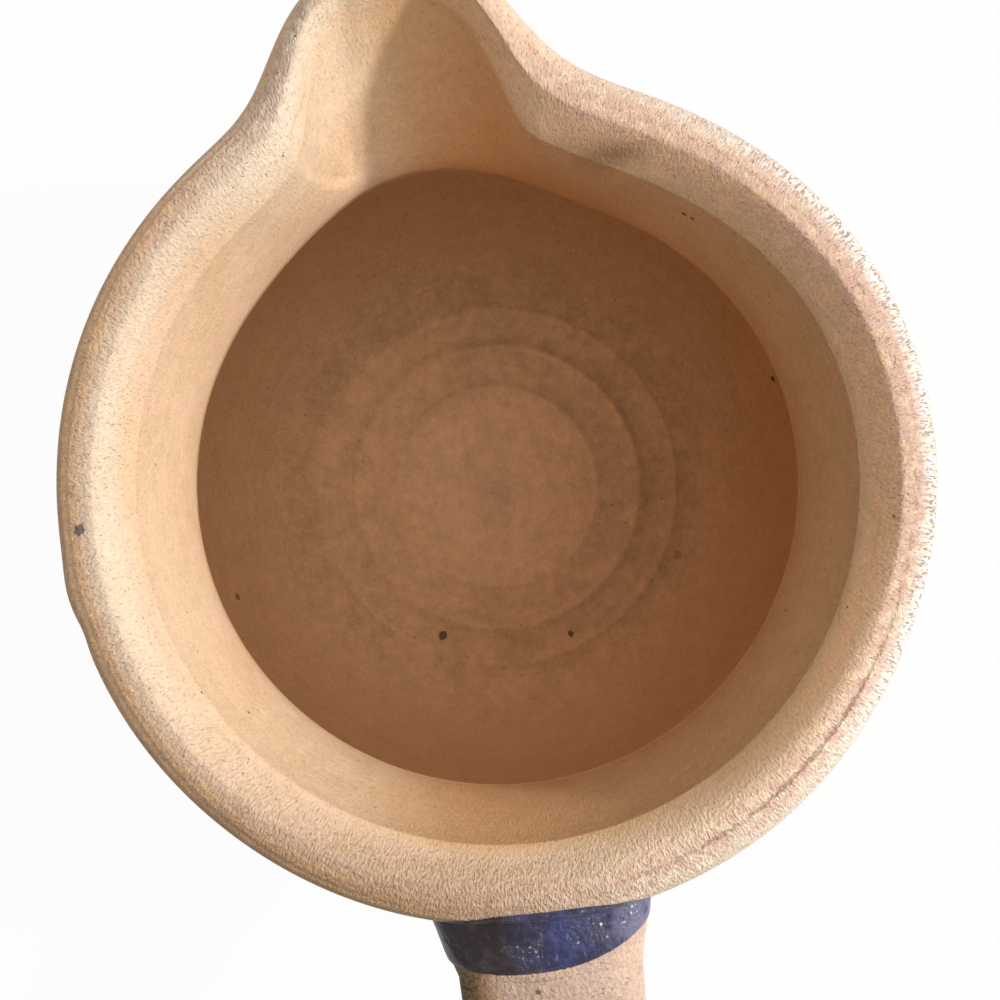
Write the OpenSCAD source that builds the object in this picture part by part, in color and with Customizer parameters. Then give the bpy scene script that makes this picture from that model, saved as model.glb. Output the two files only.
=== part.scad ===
// Cream jug: a small thrown stoneware jug with a pulled spout, and a strap handle luted on.
// Sizes are in millimetres. The jug stands on z = 0 and its axis is the z axis.
// The handle points along +x and the spout points almost the other way.

/* [Body] */
// Height of the lip above the table
jug_height = 92; // [84:1:120]
// Outer radius of the neck, at its narrowest
neck_radius = 32.7; // [31:0.1:34.5]
// Depth of the narrowest part of the neck below the lip
neck_drop = 17; // [15:0.5:24]
// Outer radius of the belly
belly_radius = 43; // [39:0.5:48]
// Height of the fullest part of the belly
belly_height = 38; // [32:1:46]
// Thickness of the thrown wall
wall = 3.6; // [3:0.1:4.4]

/* [Foot and floor] */
// Radius of the foot
foot_radius = 28.5; // [25:0.5:31]
// Width of the bevel under the foot
foot_bevel = 0.9; // [0.5:0.1:1.5]
// Height of the turned foot
foot_height = 3.6; // [2.6:0.1:5]
// Width of the step that the turning leaves over the foot
foot_step = 0.8; // [0.3:0.1:1.4]
// Radius of the turned recess under the foot
recess_radius = 19; // [12:0.5:21]
// Depth of the turned recess
recess_depth = 1.2; // [0.5:0.1:2]
// Thickness of the floor
floor_thickness = 6; // [4.5:0.1:8]
// Radius of the flat floor inside
floor_radius = 22.4; // [18:0.2:25]
// Height of the throwing rings on the floor
floor_ring_height = 0.35; // [0.1:0.05:0.6]

/* [Lip] */
// Outer radius of the rolled lip
lip_radius = 40; // [38:0.5:44]
// Depth of the lip's widest line below its top
lip_drop = 3.4; // [2.6:0.1:4.2]
// Width of the roll from its widest line to its top
lip_width = 3.7; // [3:0.1:4.6]
// Width of the bevel inside the roll
bevel_width = 3.4; // [2.6:0.1:4]
// Depth of the bevel's lower edge below the top of the lip
bevel_drop = 3.6; // [2.8:0.1:4.6]
// Height of the roll's outer side, down to the neck's curve
roll_height = 6.9; // [6:0.1:8]
// How far the roll stands out over the neck's curve
roll_overhang = 2.6; // [1.8:0.1:3.4]

/* [Spout] */
// How far the tip of the spout reaches beyond the lip
spout_reach = 8.5; // [5:0.5:11]
// How far the tip stands above the lip
spout_rise = 1.2; // [0:0.1:3]
// Angle from straight opposite the handle to the spout
spout_skew = 6.2; // [-8:0.1:8]
// Half angle of the spout on its left side, seen from above with the spout at the top
spout_left_angle = 16.6; // [14:0.1:20]
// Half angle of the spout on its right side
spout_right_angle = 14.5; // [13:0.1:20]
// Width of the lip at the tip
tip_lip_width = 1.9; // [1.4:0.1:2.6]
// Width of the bevel at the tip
tip_bevel_width = 2.1; // [1.5:0.1:2.6]
// Depth of the bevel at the tip
tip_bevel_drop = 1.6; // [1.2:0.1:2.2]
// How far the throat is drawn out under the spout
throat_pull = 2; // [0:0.1:3]
// Half angle of the drawn part of the throat
throat_angle = 20; // [15:0.5:26]
// Angle from the spout to the middle of the drawn part of the throat
throat_shift = -6; // [-8:0.5:2]
// How far the lip is pinched in beside the spout
pinch_depth = 2.45; // [0:0.05:3]
// Angle from the spout to the middle of the pinch
pinch_angle = 31; // [28:0.5:38]

/* [Handle] */
// Width of the strap where it leaves the neck
handle_width = 17.4; // [14:0.2:20]
// Thickness of the strap where it leaves the neck
handle_thickness = 7.8; // [6:0.1:9]
// Width of the strap halfway down
handle_waist_width = 15; // [12:0.2:18]
// Thickness of the strap halfway down
handle_waist_thickness = 6.4; // [5:0.1:8]
// How far the middle line of the strap stands out beyond the belly
handle_reach = 24; // [21:0.5:32]
// Depth of the strap's middle line below the lip where it leaves the neck
handle_root_drop = 10; // [9.4:0.1:12]
// Height of the strap's middle line where it meets the belly
handle_landing_height = 35; // [28:0.5:42]

/* [Lutes and cobalt] */
// Thickness of the clay worked round the strap's ends, at the very end
lute_spread = 3.2; // [1.5:0.1:4]
// Thickness of that clay at its feathered edge
lute_edge = 0.25; // [0.2:0.05:0.6]
// How much of that thickness is smeared from the strap's +y side to its -y side
lute_lean = 0.5; // [0:0.05:0.7]
// How far the upper lute runs out past the lip
upper_lute_reach = 5.6; // [4:0.1:9]
// How far the lower lute runs out past the belly
lower_lute_reach = 5.2; // [3.5:0.1:8]
// Thickness of the cobalt glaze
cobalt_thickness = 0.3; // [0.2:0.05:0.5]
// Width of the bare edge of each lute that the cobalt leaves
cobalt_margin = 1; // [0.4:0.1:2]

/* [Hidden] */

CLAY = [0.84, 0.66, 0.51];
LUTE_CLAY = [0.80, 0.62, 0.47];
COBALT = [0.27, 0.27, 0.41];

neck_height = jug_height - neck_drop;
// The throwing rings, each as [share of the floor's radius, share of the rings' height]
floor_ring_shares = [[1, 0.6], [0.9, 0], [0.8, 1], [0.71, 0.1], [0.56, 0.8], [0.46, -0.4], [0.15, 0]];
// How far the recess's cutter reaches below the table, to cut cleanly
cutter_overrun = 1;

// Directions round the body, closer together at the spout than at the handle
body_steps = 84;
step_crowding = 0.38;

// Sharpness of the spout's and the throat's shoulders, and of the pinch's two sides in degrees
spout_power = 3.05;
throat_power = 2;
pinch_near_angle = 14;
pinch_far_angle = 34;
// Part of the pinch that reaches down to the neck
pinch_low_share = 0.4;

// Handles of the wall's curves, as [outward, upward] from the curve's end in millimetres
quarter_circle = 0.5523;
foot_handle = [7.5, 6.5];
floor_handle = [11, 1];
neck_handle = 4;
roll_handle = [1.4, 1.6];
flare_handle = [1.6, 2.4];
lip_handle = 1.5;
crest_handle = 1.4;
bevel_handle = [0.9, 1.1];
throat_handle = [1, 3.6];
throat_foot_handle = 5.5;
// The same as shares of the height between the curve's ends
belly_handle_share = 0.4;
neck_handle_share = 0.36;
inner_neck_handle_share = 0.3;
inner_belly_handle_share = 0.39;
bowl_handle_share = 0.5;

// What the tip of the spout keeps of the plain lip's drop, roll height and inner handles
tip_lip_share = 0.8;
tip_roll_share = 0.9;
tip_crest_share = 0.6;
tip_bevel_share = 0.5;
tip_throat_share = 0.8;
// How far the underside draws in at the tip, how much longer its flare is, and the ramp's first handle
tip_draw = 2;
tip_flare_share = 1.6;
ramp_share = 0.35;

// Steps along the strap between its lutes, and along each lute, and points round the strap
strap_steps = 28;
lute_steps = 5;
strap_sides = 20;
// Roundness of the strap's section, where 2 is an ellipse
strap_power = 2.5;

function mix(a, b, share) = a + (b - a) * share;

function point_on_curve(a, b, c, d, t) =
    pow(1 - t, 3) * a + 3 * pow(1 - t, 2) * t * b + 3 * (1 - t) * t * t * c + pow(t, 3) * d;

function slope_of_curve(a, b, c, d, t) =
    3 * pow(1 - t, 2) * (b - a) + 6 * (1 - t) * t * (c - b) + 3 * t * t * (d - c);

// Points of a curve from a, pulled towards b and c, up to but without d
function curve(a, b, c, d, steps) =
    [for (i = [0 : steps - 1]) point_on_curve(a, b, c, d, i / steps)];

// 1 where angle is zero, falling to nothing on both sides
function bell(angle, half_angle, power) = exp(-pow(abs(angle / half_angle), power));

// Share of the spout, the throat's pull and the pinch at an angle from the spout
function spout_share(angle) =
    bell(angle, angle < 0 ? spout_left_angle : spout_right_angle, spout_power);

function throat_share(angle) = bell(angle - throat_shift, throat_angle, throat_power);

function pinch(angle) =
    pinch_depth * (1 - spout_share(angle))
    * bell(angle - pinch_angle, angle < pinch_angle ? pinch_near_angle : pinch_far_angle, 2);

// Radius of the lip's outer line at an angle from the spout
function lip_line(angle) = lip_radius + spout_reach * spout_share(angle) - pinch(angle);

// How much longer a radial cut through the lip is where its line runs aslant
function slant(angle) =
    let(
        turn = 1,
        rise = lip_line(angle + turn / 2) - lip_line(angle - turn / 2),
        run = lip_line(angle) * turn * PI / 180
    )
    sqrt(1 + pow(rise / run, 2));

// Places on the wall's section at an angle from the spout, each as [radius, height]
function lip_top(angle) = jug_height + spout_rise * spout_share(angle);

function lip_outside(angle) =
    [lip_line(angle), lip_top(angle) - lip_drop * mix(1, tip_lip_share, spout_share(angle))];

function lip_crest(angle) =
    [lip_line(angle) - slant(angle) * mix(lip_width, tip_lip_width, spout_share(angle)), lip_top(angle)];

function bevel_edge(angle) =
    let(share = spout_share(angle))
    lip_crest(angle) - [
        slant(angle) * mix(bevel_width, tip_bevel_width, share),
        mix(bevel_drop, tip_bevel_drop, share)
    ];

function roll_foot(angle) =
    let(share = spout_share(angle))
    [
        lip_line(angle) - roll_overhang - tip_draw * share,
        lip_top(angle) - roll_height * mix(1, tip_roll_share, share)
    ];

function neck_outside(angle) =
    [neck_radius + throat_pull * throat_share(angle) - pinch_low_share * pinch(angle), neck_height];

function neck_inside(angle) = neck_outside(angle) - [wall, 0];

// The outside of the wall from the foot to the neck, which is the same all round
function lower_outside(neck) =
    let(
        root = [foot_radius - foot_step, foot_height + foot_step],
        belly = [belly_radius, belly_height],
        low_pull = belly_height * belly_handle_share,
        rise = neck_height - belly_height
    )
    concat(
        [[foot_radius - foot_bevel, 0], [foot_radius, foot_bevel], [foot_radius, foot_height]],
        curve(root, root + foot_handle, belly - [0, low_pull], belly, 7),
        curve(belly, belly + [0, rise * belly_handle_share], neck - [0, rise * neck_handle_share], neck, 8)
    );

// The outside of the wall from the neck to the top of the lip
function upper_outside(angle) =
    let(
        share = spout_share(angle),
        neck = neck_outside(angle),
        roll = roll_foot(angle),
        lip = lip_outside(angle),
        crest = lip_crest(angle),
        flare = flare_handle * mix(1, tip_flare_share, share)
    )
    concat(
        curve(neck, neck + [0, neck_handle], roll - flare, roll, 4),
        curve(roll, roll + roll_handle, lip - [0, lip_handle], lip, 3),
        curve(
            lip,
            lip + [0, quarter_circle * (crest[1] - lip[1])],
            crest + [quarter_circle * (lip[0] - crest[0]), 0],
            crest,
            5
        )
    );

// The inside of the wall from the top of the lip to the neck
function upper_inside(angle) =
    let(
        share = spout_share(angle),
        crest = lip_crest(angle),
        bevel = bevel_edge(angle),
        neck = neck_inside(angle),
        over_crest = crest - [crest_handle * mix(1, tip_crest_share, share), 0],
        over_bevel = bevel + bevel_handle * mix(1, tip_bevel_share, share),
        under_bevel = bevel + mix(-throat_handle, (neck - bevel) * ramp_share, share),
        over_neck = neck + [0, throat_foot_handle * mix(1, tip_throat_share, share)]
    )
    concat(
        curve(crest, over_crest, over_bevel, bevel, 3),
        curve(bevel, under_bevel, over_neck, neck, 5)
    );

// The inside of the wall from the neck down to the middle of the floor
function lower_inside(neck) =
    let(
        belly = [belly_radius - wall, belly_height],
        floor_edge = [floor_radius, floor_thickness],
        rise = neck_height - belly_height,
        low_pull = (belly_height - floor_thickness) * bowl_handle_share
    )
    concat(
        curve(
            neck,
            neck - [0, rise * inner_neck_handle_share],
            belly + [0, rise * inner_belly_handle_share],
            belly,
            6
        ),
        curve(belly, belly - [0, low_pull], floor_edge + floor_handle, floor_edge, 6),
        floor_rings(floor_edge)
    );

function floor_rings(edge) =
    [for (ring = floor_ring_shares) [edge[0] * ring[0], edge[1] + floor_ring_height * ring[1]]];

function wall_section(angle) =
    concat(
        lower_outside(neck_outside(angle)),
        upper_outside(angle),
        upper_inside(angle),
        lower_inside(neck_inside(angle))
    );

// A closed solid from rings of points. Each ring runs the same way round and has as many points.
module loft(rings, hollow = false) {
    count = len(rings);
    sides = len(rings[0]);
    joins = hollow ? count : count - 1;
    skin = [
        for (i = [0 : joins - 1])
            for (k = [0 : sides - 1])
                let(
                    here = i * sides + k,
                    beside = i * sides + (k + 1) % sides,
                    above = (i + 1) % count * sides + k,
                    across = (i + 1) % count * sides + (k + 1) % sides
                )
                each [[here, across, above], [here, beside, across]]
    ];
    ends = hollow ? [] : [
        [for (k = [sides - 1 : -1 : 0]) k],
        [for (k = [0 : sides - 1]) (count - 1) * sides + k]
    ];
    polyhedron(points = [for (ring = rings) each ring], faces = concat(skin, ends));
}

// The direction of each section, as an angle from the spout
function section_angle(i) =
    let(turn = 360 * i / body_steps - 180)
    turn - step_crowding * sin(turn) * 180 / PI;

module thrown_wall() {
    angles = [for (i = [0 : body_steps - 1]) section_angle(i)];
    sections = [for (angle = angles) wall_section(angle)];
    // Seen from above the jug's left is anticlockwise from the spout, so the angle counts down
    headings = [for (angle = angles) 180 + spout_skew - angle];
    rings = [
        for (j = [0 : len(sections[0]) - 1])
            [
                for (i = [0 : body_steps - 1])
                    [
                        sections[i][j][0] * cos(headings[i]),
                        sections[i][j][0] * sin(headings[i]),
                        sections[i][j][1]
                    ]
            ]
    ];
    loft(rings);
}

module body() {
    color(CLAY)
        difference() {
            thrown_wall();
            translate([0, 0, -cutter_overrun])
                cylinder(h = recess_depth + cutter_overrun, r = recess_radius, $fn = 96);
        }
}

// The space that the body takes up on the handle's side, filled in to the axis
module body_envelope() {
    away = 180;
    top = lip_crest(away);
    rotate_extrude($fn = 96)
        polygon(concat([[0, 0]], lower_outside(neck_outside(away)), upper_outside(away), [top, [0, top[1]]]));
}

// How deep the strap's middle line starts inside the neck and the belly, before the body is cut away
root_depth = 2;
landing_depth = 3;
// Handles of the strap's middle line, and where its furthest point lies between landing and root
root_handle = [20, 3.4];
landing_handle = [13, 1.5];
strap_out_share = 0.58;
strap_fall_share = 0.33;

// The strap's middle line: from the neck out to its furthest point, and from the belly to the same point
strap_root = [neck_radius - root_depth, jug_height - handle_root_drop];
strap_landing = [belly_radius - landing_depth, handle_landing_height];
strap_out = [belly_radius + handle_reach, mix(strap_landing[1], strap_root[1], strap_out_share)];
strap_fall = [0, (strap_root[1] - strap_landing[1]) * strap_fall_share];
strap_upper = [strap_root, strap_root + root_handle, strap_out + strap_fall, strap_out];
strap_lower = [strap_landing, strap_landing + landing_handle, strap_out - strap_fall, strap_out];

function line_point(line, t) = point_on_curve(line[0], line[1], line[2], line[3], t);

function line_slope(line, t) = slope_of_curve(line[0], line[1], line[2], line[3], t);

// How far along a line its distance from the jug's axis reaches a value
function reach_at(line, distance, low = 0, high = 0.8, halvings = 20) =
    let(middle = (low + high) / 2)
    halvings == 0 ? middle
        : line_point(line, middle)[0] < distance ? reach_at(line, distance, middle, high, halvings - 1)
        : reach_at(line, distance, low, middle, halvings - 1);

// One ring of the strap, or of the lute and the cobalt that lie over it, by their thickness
function strap_ring(line, t, lute, cobalt) =
    let(
        side = line == strap_upper ? 1 : -1,
        middle = line_point(line, t),
        along = line_slope(line, t) * side,
        normal = [-along[1], along[0]] / norm(along),
        half_width = mix(handle_width, handle_waist_width, sin(90 * t)) / 2 + lute + cobalt,
        half_thickness = mix(handle_thickness, handle_waist_thickness, sin(90 * t)) / 2 + lute + cobalt
    )
    [
        for (k = [0 : strap_sides - 1])
            let(
                turn = -360 * (k + 0.5) / strap_sides,
                across = half_width * sign(cos(turn)) * pow(abs(cos(turn)), 2 / strap_power),
                out = half_thickness * sign(sin(turn)) * pow(abs(sin(turn)), 2 / strap_power)
            )
            [middle[0] + normal[0] * out, across - lute_lean * lute, middle[1] + normal[1] * out]
    ];

// Steps along a line from its start to the end of the lute, and from there to the strap's furthest point
function lute_stops(lute_end) = [for (i = [0 : lute_steps]) lute_end * i / lute_steps];

function strap_stops(lute_end) =
    concat(
        lute_stops(lute_end),
        [for (i = [1 : strap_steps / 2]) mix(lute_end, 1, 2 * i / strap_steps)]
    );

upper_lute_end = reach_at(strap_upper, lip_radius + upper_lute_reach);
lower_lute_end = reach_at(strap_lower, belly_radius + lower_lute_reach);
upper_cobalt_end = reach_at(strap_upper, lip_radius + upper_lute_reach - cobalt_margin);
lower_cobalt_end = reach_at(strap_lower, belly_radius + lower_lute_reach - cobalt_margin);

module strap() {
    upper = [for (t = strap_stops(upper_lute_end)) strap_ring(strap_upper, t, 0, 0)];
    lower = [for (t = strap_stops(lower_lute_end)) strap_ring(strap_lower, t, 0, 0)];
    // Both halves end in the same ring, so the lower half's last one is left out
    shared = len(lower) - 1;
    loft(concat(upper, reverse([for (i = [0 : shared - 1]) lower[i]])));
}

// Thickness of the lute at a share of its length, from the strap's end to the feathered edge
function lute_thickness(share) = mix(lute_spread, lute_edge, share);

function reverse(list) = [for (i = [len(list) - 1 : -1 : 0]) list[i]];

// A sleeve of clay or glaze between an inner and an outer list of rings, cut to the body
module sleeve(line, inner, outer) {
    // The lower line runs against the strap's own direction, so its rings are taken the other way
    turned_out = line == strap_upper;
    difference() {
        loft(turned_out ? concat(outer, reverse(inner)) : concat(inner, reverse(outer)), hollow = true);
        body_envelope();
    }
}

module lute(line, lute_end) {
    stops = lute_stops(lute_end);
    strap_face = [for (t = stops) strap_ring(line, t, 0, 0)];
    lute_face = [for (t = stops) strap_ring(line, t, lute_thickness(t / lute_end), 0)];
    sleeve(line, strap_face, lute_face);
}

module cobalt(line, lute_end, cobalt_end) {
    stops = lute_stops(cobalt_end);
    lute_face = [for (t = stops) strap_ring(line, t, lute_thickness(t / lute_end), 0)];
    cobalt_face = [for (t = stops) strap_ring(line, t, lute_thickness(t / lute_end), cobalt_thickness)];
    sleeve(line, lute_face, cobalt_face);
}

module handle() {
    color(CLAY)
        difference() {
            strap();
            body_envelope();
        }
}

module upper_lute() {
    color(LUTE_CLAY) lute(strap_upper, upper_lute_end);
}

module lower_lute() {
    color(LUTE_CLAY) lute(strap_lower, lower_lute_end);
}

module upper_cobalt() {
    color(COBALT) cobalt(strap_upper, upper_lute_end, upper_cobalt_end);
}

module lower_cobalt() {
    color(COBALT) cobalt(strap_lower, lower_lute_end, lower_cobalt_end);
}

body();
handle();
upper_lute();
lower_lute();
upper_cobalt();
lower_cobalt();
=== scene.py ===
"""Looks of a cream jug: a thrown stoneware body, a strap handle luted on, and cobalt over the joints.

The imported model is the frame. The body and the strap are made again here from the same sizes, finer and with
the marks of the potter's hand, and every surface gets a procedural finish. Lengths are in millimetres until
a mesh is made, and in metres in Blender.
"""
import logging
import math
from dataclasses import dataclass, field
from enum import Enum
from typing import Any, Callable, Sequence

import bmesh
import bpy
import numpy as np
from mathutils import Matrix, Vector


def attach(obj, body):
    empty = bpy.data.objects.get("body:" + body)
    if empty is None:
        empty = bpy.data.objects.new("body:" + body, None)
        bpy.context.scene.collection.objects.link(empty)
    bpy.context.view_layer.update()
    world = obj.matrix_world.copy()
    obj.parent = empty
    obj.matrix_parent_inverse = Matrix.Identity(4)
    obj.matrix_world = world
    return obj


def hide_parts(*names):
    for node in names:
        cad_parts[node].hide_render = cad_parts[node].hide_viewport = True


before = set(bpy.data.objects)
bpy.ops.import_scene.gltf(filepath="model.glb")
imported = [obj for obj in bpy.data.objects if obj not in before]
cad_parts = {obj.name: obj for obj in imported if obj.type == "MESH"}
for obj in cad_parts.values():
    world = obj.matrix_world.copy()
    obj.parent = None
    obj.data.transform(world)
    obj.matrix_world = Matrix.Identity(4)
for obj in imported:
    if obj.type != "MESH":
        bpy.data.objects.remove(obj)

LOG = logging.getLogger("cream_jug")
MM = 0.001
ROOT_BODY = "root"
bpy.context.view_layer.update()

Array = np.ndarray
Colour = tuple[float, float, float]
FLOOR_RINGS = (12.4, 17.6, 22.2)


class Zone(Enum):
    """Stretches of the wall's section, in the order in which they run from under the foot to the floor inside."""

    UNDERSIDE = "underside"
    FOOT = "foot"
    LOWER_BELLY = "lower_belly"
    UPPER_BELLY = "upper_belly"
    NECK = "neck"
    ROLL_SIDE = "roll_side"
    LIP = "lip"
    BEVEL = "bevel"
    THROAT = "throat"
    SHOULDER_INSIDE = "shoulder_inside"
    BOWL = "bowl"
    FLOOR = "floor"


def mix(low: Any, high: Any, share: Any) -> Any:
    """Returns the value that lies a share of the way from low to high."""
    return low + (high - low) * share


def bell(offset: Array, width: Array | float, power: float = 2.0) -> Array:
    """Returns 1 where the offset is zero, falling to nothing on both sides."""
    return np.exp(-np.abs(offset / width) ** power)


def smooth_step(low: float, high: float, value: Array) -> Array:
    """Returns a smooth rise from 0 below low to 1 above high, or a fall where high is below low."""
    t = np.clip((value - low) / (high - low), 0.0, 1.0)
    return t * t * (3.0 - 2.0 * t)


def curve(start: Array, pull_out: Array, pull_in: Array, end: Array, steps: int) -> Array:
    """Walks cubic curves with two handles, one for each direction round the jug.

    Args:
        start: First points, as an array of [direction, (radius, height)].
        pull_out: Handles of the first points.
        pull_in: Handles of the last points.
        end: Last points, which the walk stops short of.
        steps: Number of points.

    Returns:
        An array of [direction, step, (radius, height)].
    """
    t = (np.arange(steps) / steps)[None, :, None]
    a, b, c, d = (np.asarray(p, float)[:, None, :] for p in (start, pull_out, pull_in, end))
    return (1 - t) ** 3 * a + 3 * (1 - t) ** 2 * t * b + 3 * (1 - t) * t**2 * c + t**3 * d


def pair(radius: Array | float, height: Array | float, like: Array) -> Array:
    """Returns [radius, height] pairs, one for each value of like."""
    return np.stack([np.broadcast_to(radius, like.shape), np.broadcast_to(height, like.shape)], axis=-1)


@dataclass(frozen=True)
class WallShape:
    """Sizes of the thrown wall in millimetres and degrees: the solid body's, with a deeper channel in the spout."""

    height: float = 92.0
    neck_radius: float = 32.7
    neck_drop: float = 17.0
    belly_radius: float = 43.0
    belly_height: float = 38.0
    wall: float = 3.6
    foot_radius: float = 28.5
    foot_bevel: float = 0.9
    foot_height: float = 3.6
    foot_step: float = 0.8
    recess_radius: float = 19.0
    recess_depth: float = 1.2
    floor_thickness: float = 6.0
    floor_radius: float = 22.4
    lip_radius: float = 40.0
    lip_drop: float = 3.4
    lip_width: float = 3.7
    bevel_width: float = 3.4
    bevel_drop: float = 3.6
    roll_height: float = 6.9
    roll_overhang: float = 2.6
    spout_reach: float = 8.5
    spout_rise: float = 1.2
    spout_skew: float = 6.2
    spout_left_angle: float = 16.6
    spout_right_angle: float = 14.5
    spout_power: float = 3.05
    tip_lip_width: float = 1.9
    tip_bevel_width: float = 2.1
    tip_bevel_drop: float = 3.4
    channel_sag: float = 1.2
    throat_pull: float = 2.0
    throat_angle: float = 20.0
    throat_shift: float = -6.0
    pinch_depth: float = 2.45
    pinch_angle: float = 31.0
    pinch_near_angle: float = 14.0
    pinch_far_angle: float = 34.0
    pinch_low_share: float = 0.4
    quarter_circle: float = 0.5523
    crown: float = 0.75
    crest_run: float = 1.3
    crest_fall: float = 0.85

    @property
    def neck_height(self) -> float:
        """Height of the narrowest part of the neck."""
        return self.height - self.neck_drop

    def heading(self, angle: Array) -> Array:
        """Returns the direction in the jug's frame, in radians, of an angle from the spout in degrees."""
        return np.radians(180.0 + self.spout_skew - angle)

    def spout_share(self, angle: Array) -> Array:
        """Returns how much of the spout an angle from it gets, from 0 to 1."""
        width = np.where(angle < 0, self.spout_left_angle, self.spout_right_angle)
        return bell(angle, width, self.spout_power)

    def pinch(self, angle: Array) -> Array:
        """Returns how far the lip is pinched in at an angle from the spout."""
        offset = angle - self.pinch_angle
        width = np.where(offset < 0, self.pinch_near_angle, self.pinch_far_angle)
        return self.pinch_depth * (1 - self.spout_share(angle)) * bell(offset, width)

    def lip_line(self, angle: Array) -> Array:
        """Returns the radius of the lip's outer line at an angle from the spout."""
        return self.lip_radius + self.spout_reach * self.spout_share(angle) - self.pinch(angle)

    def slant(self, angle: Array) -> Array:
        """Returns how much longer a radial cut through the lip is where its line runs aslant."""
        turn = 1.0
        rise = self.lip_line(angle + turn / 2) - self.lip_line(angle - turn / 2)
        return np.hypot(1.0, rise / (self.lip_line(angle) * math.radians(turn)))

    def sections(self, angle: Array, counts: dict[Zone, int]) -> tuple[Array, dict[Zone, slice]]:
        """Works out the wall's section in several directions.

        Args:
            angle: Directions as angles from the spout in degrees, positive clockwise from above.
            counts: Number of points in each zone.

        Returns:
            The points as an array of [direction, point, (radius, height)], and where each zone lies in them.
        """
        share = self.spout_share(angle)
        pinch = self.pinch(angle)
        slant = self.slant(angle)
        throat = bell(angle - self.throat_shift, self.throat_angle)
        top = self.height + self.spout_rise * share
        lip_line = self.lip_line(angle)

        def at(radius: Array | float, height: Array | float) -> Array:
            """Returns [radius, height] pairs for all directions."""
            return pair(radius, height, angle)

        lip = at(lip_line, top - self.lip_drop * mix(1, 0.8, share))
        crest = at(lip_line - slant * mix(self.lip_width, self.tip_lip_width, share), top)
        bevel = crest - at(
            slant * mix(self.bevel_width, self.tip_bevel_width, share),
            mix(self.bevel_drop, self.tip_bevel_drop, share),
        )
        roll = at(lip_line - self.roll_overhang - 2 * share, top - self.roll_height * mix(1, 0.9, share))
        neck = at(self.neck_radius + self.throat_pull * throat - self.pinch_low_share * pinch, self.neck_height)
        neck_inside = neck - at(self.wall, 0)
        belly = at(self.belly_radius, self.belly_height)
        belly_inside = belly - at(self.wall, 0)
        root = at(self.foot_radius - self.foot_step, self.foot_height + self.foot_step)
        floor = at(self.floor_radius, self.floor_thickness)
        rise = self.neck_height - self.belly_height
        share2 = share[:, None]
        flat = bell(angle - 150.0, 34.0, 4.0)
        ramp = (neck_inside - bevel) * 0.35

        stretches = {
            Zone.UNDERSIDE: self.underside(angle, counts[Zone.UNDERSIDE]),
            Zone.FOOT: self.foot(angle, counts[Zone.FOOT]),
            Zone.LOWER_BELLY: curve(
                root, root + at(7.5, 6.5), belly - at(0, self.belly_height * 0.4), belly, counts[Zone.LOWER_BELLY]
            ),
            Zone.UPPER_BELLY: curve(
                belly, belly + at(0, rise * 0.4), neck - at(0, rise * 0.36), neck, counts[Zone.UPPER_BELLY]
            ),
            Zone.NECK: curve(
                neck, neck + at(0, 4), roll - at(1.6, 2.4) * mix(1, 1.6, share2), roll, counts[Zone.NECK]
            ),
            Zone.ROLL_SIDE: curve(roll, roll + at(1.4, 1.6), lip - at(0, 1.5), lip, counts[Zone.ROLL_SIDE]),
            Zone.LIP: curve(
                lip,
                lip + at(0, self.quarter_circle * (crest[:, 1] - lip[:, 1])),
                crest + at(mix(self.crown, self.quarter_circle, share) * (lip[:, 0] - crest[:, 0]), 0),
                crest,
                counts[Zone.LIP],
            ),
            Zone.BEVEL: curve(
                crest,
                crest - at(self.crest_run, self.crest_fall * (1.0 - 0.8 * flat)) * mix(1, 0.6, share2),
                bevel + at(0.9, 1.1) * mix(1, 0.5, share2),
                bevel,
                counts[Zone.BEVEL],
            ),
            Zone.THROAT: curve(
                bevel,
                bevel + mix(-at(1.0, 3.6), ramp, share2),
                neck_inside + at(0, 5.5) * mix(1, 0.8, share2),
                neck_inside,
                counts[Zone.THROAT],
            ),
            Zone.SHOULDER_INSIDE: curve(
                neck_inside,
                neck_inside - at(0, rise * 0.3),
                belly_inside + at(0, rise * 0.39),
                belly_inside,
                counts[Zone.SHOULDER_INSIDE],
            ),
            Zone.BOWL: curve(
                belly_inside,
                belly_inside - at(0, (self.belly_height - self.floor_thickness) * 0.5),
                floor + at(11, 1),
                floor,
                counts[Zone.BOWL],
            ),
            Zone.FLOOR: self.floor(angle, counts[Zone.FLOOR]),
        }
        throat_share = np.linspace(0.0, 1.0, counts[Zone.THROAT], endpoint=False)[None, :]
        stretches[Zone.THROAT][..., 1] -= self.channel_sag * share2 * np.sin(math.pi * throat_share)
        places: dict[Zone, slice] = {}
        first = 0
        for zone, points in stretches.items():
            places[zone] = slice(first, first + points.shape[1])
            first += points.shape[1]
        return np.concatenate(list(stretches.values()), axis=1), places

    def underside(self, angle: Array, count: int) -> Array:
        """Returns the turned recess under the foot and the ring that the jug stands on."""
        fillet = 0.5
        corner = [
            (self.recess_radius - fillet, self.recess_depth),
            (self.recess_radius, self.recess_depth - fillet * 0.4),
            (self.recess_radius + fillet * 0.3, fillet * 0.4),
            (self.recess_radius + fillet, 0.0),
        ]
        inner = count * 2 // 3
        outer = count - inner - len(corner)
        last_radius = self.foot_radius - self.foot_bevel
        profile = [(r, self.recess_depth) for r in np.linspace(1.0, self.recess_radius - 1.0, inner)]
        profile += corner
        profile += [(r, 0.0) for r in np.linspace(self.recess_radius + 1.0, last_radius - 0.3, outer)]
        return np.broadcast_to(np.array(profile)[None], (len(angle), len(profile), 2)).copy()

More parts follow.
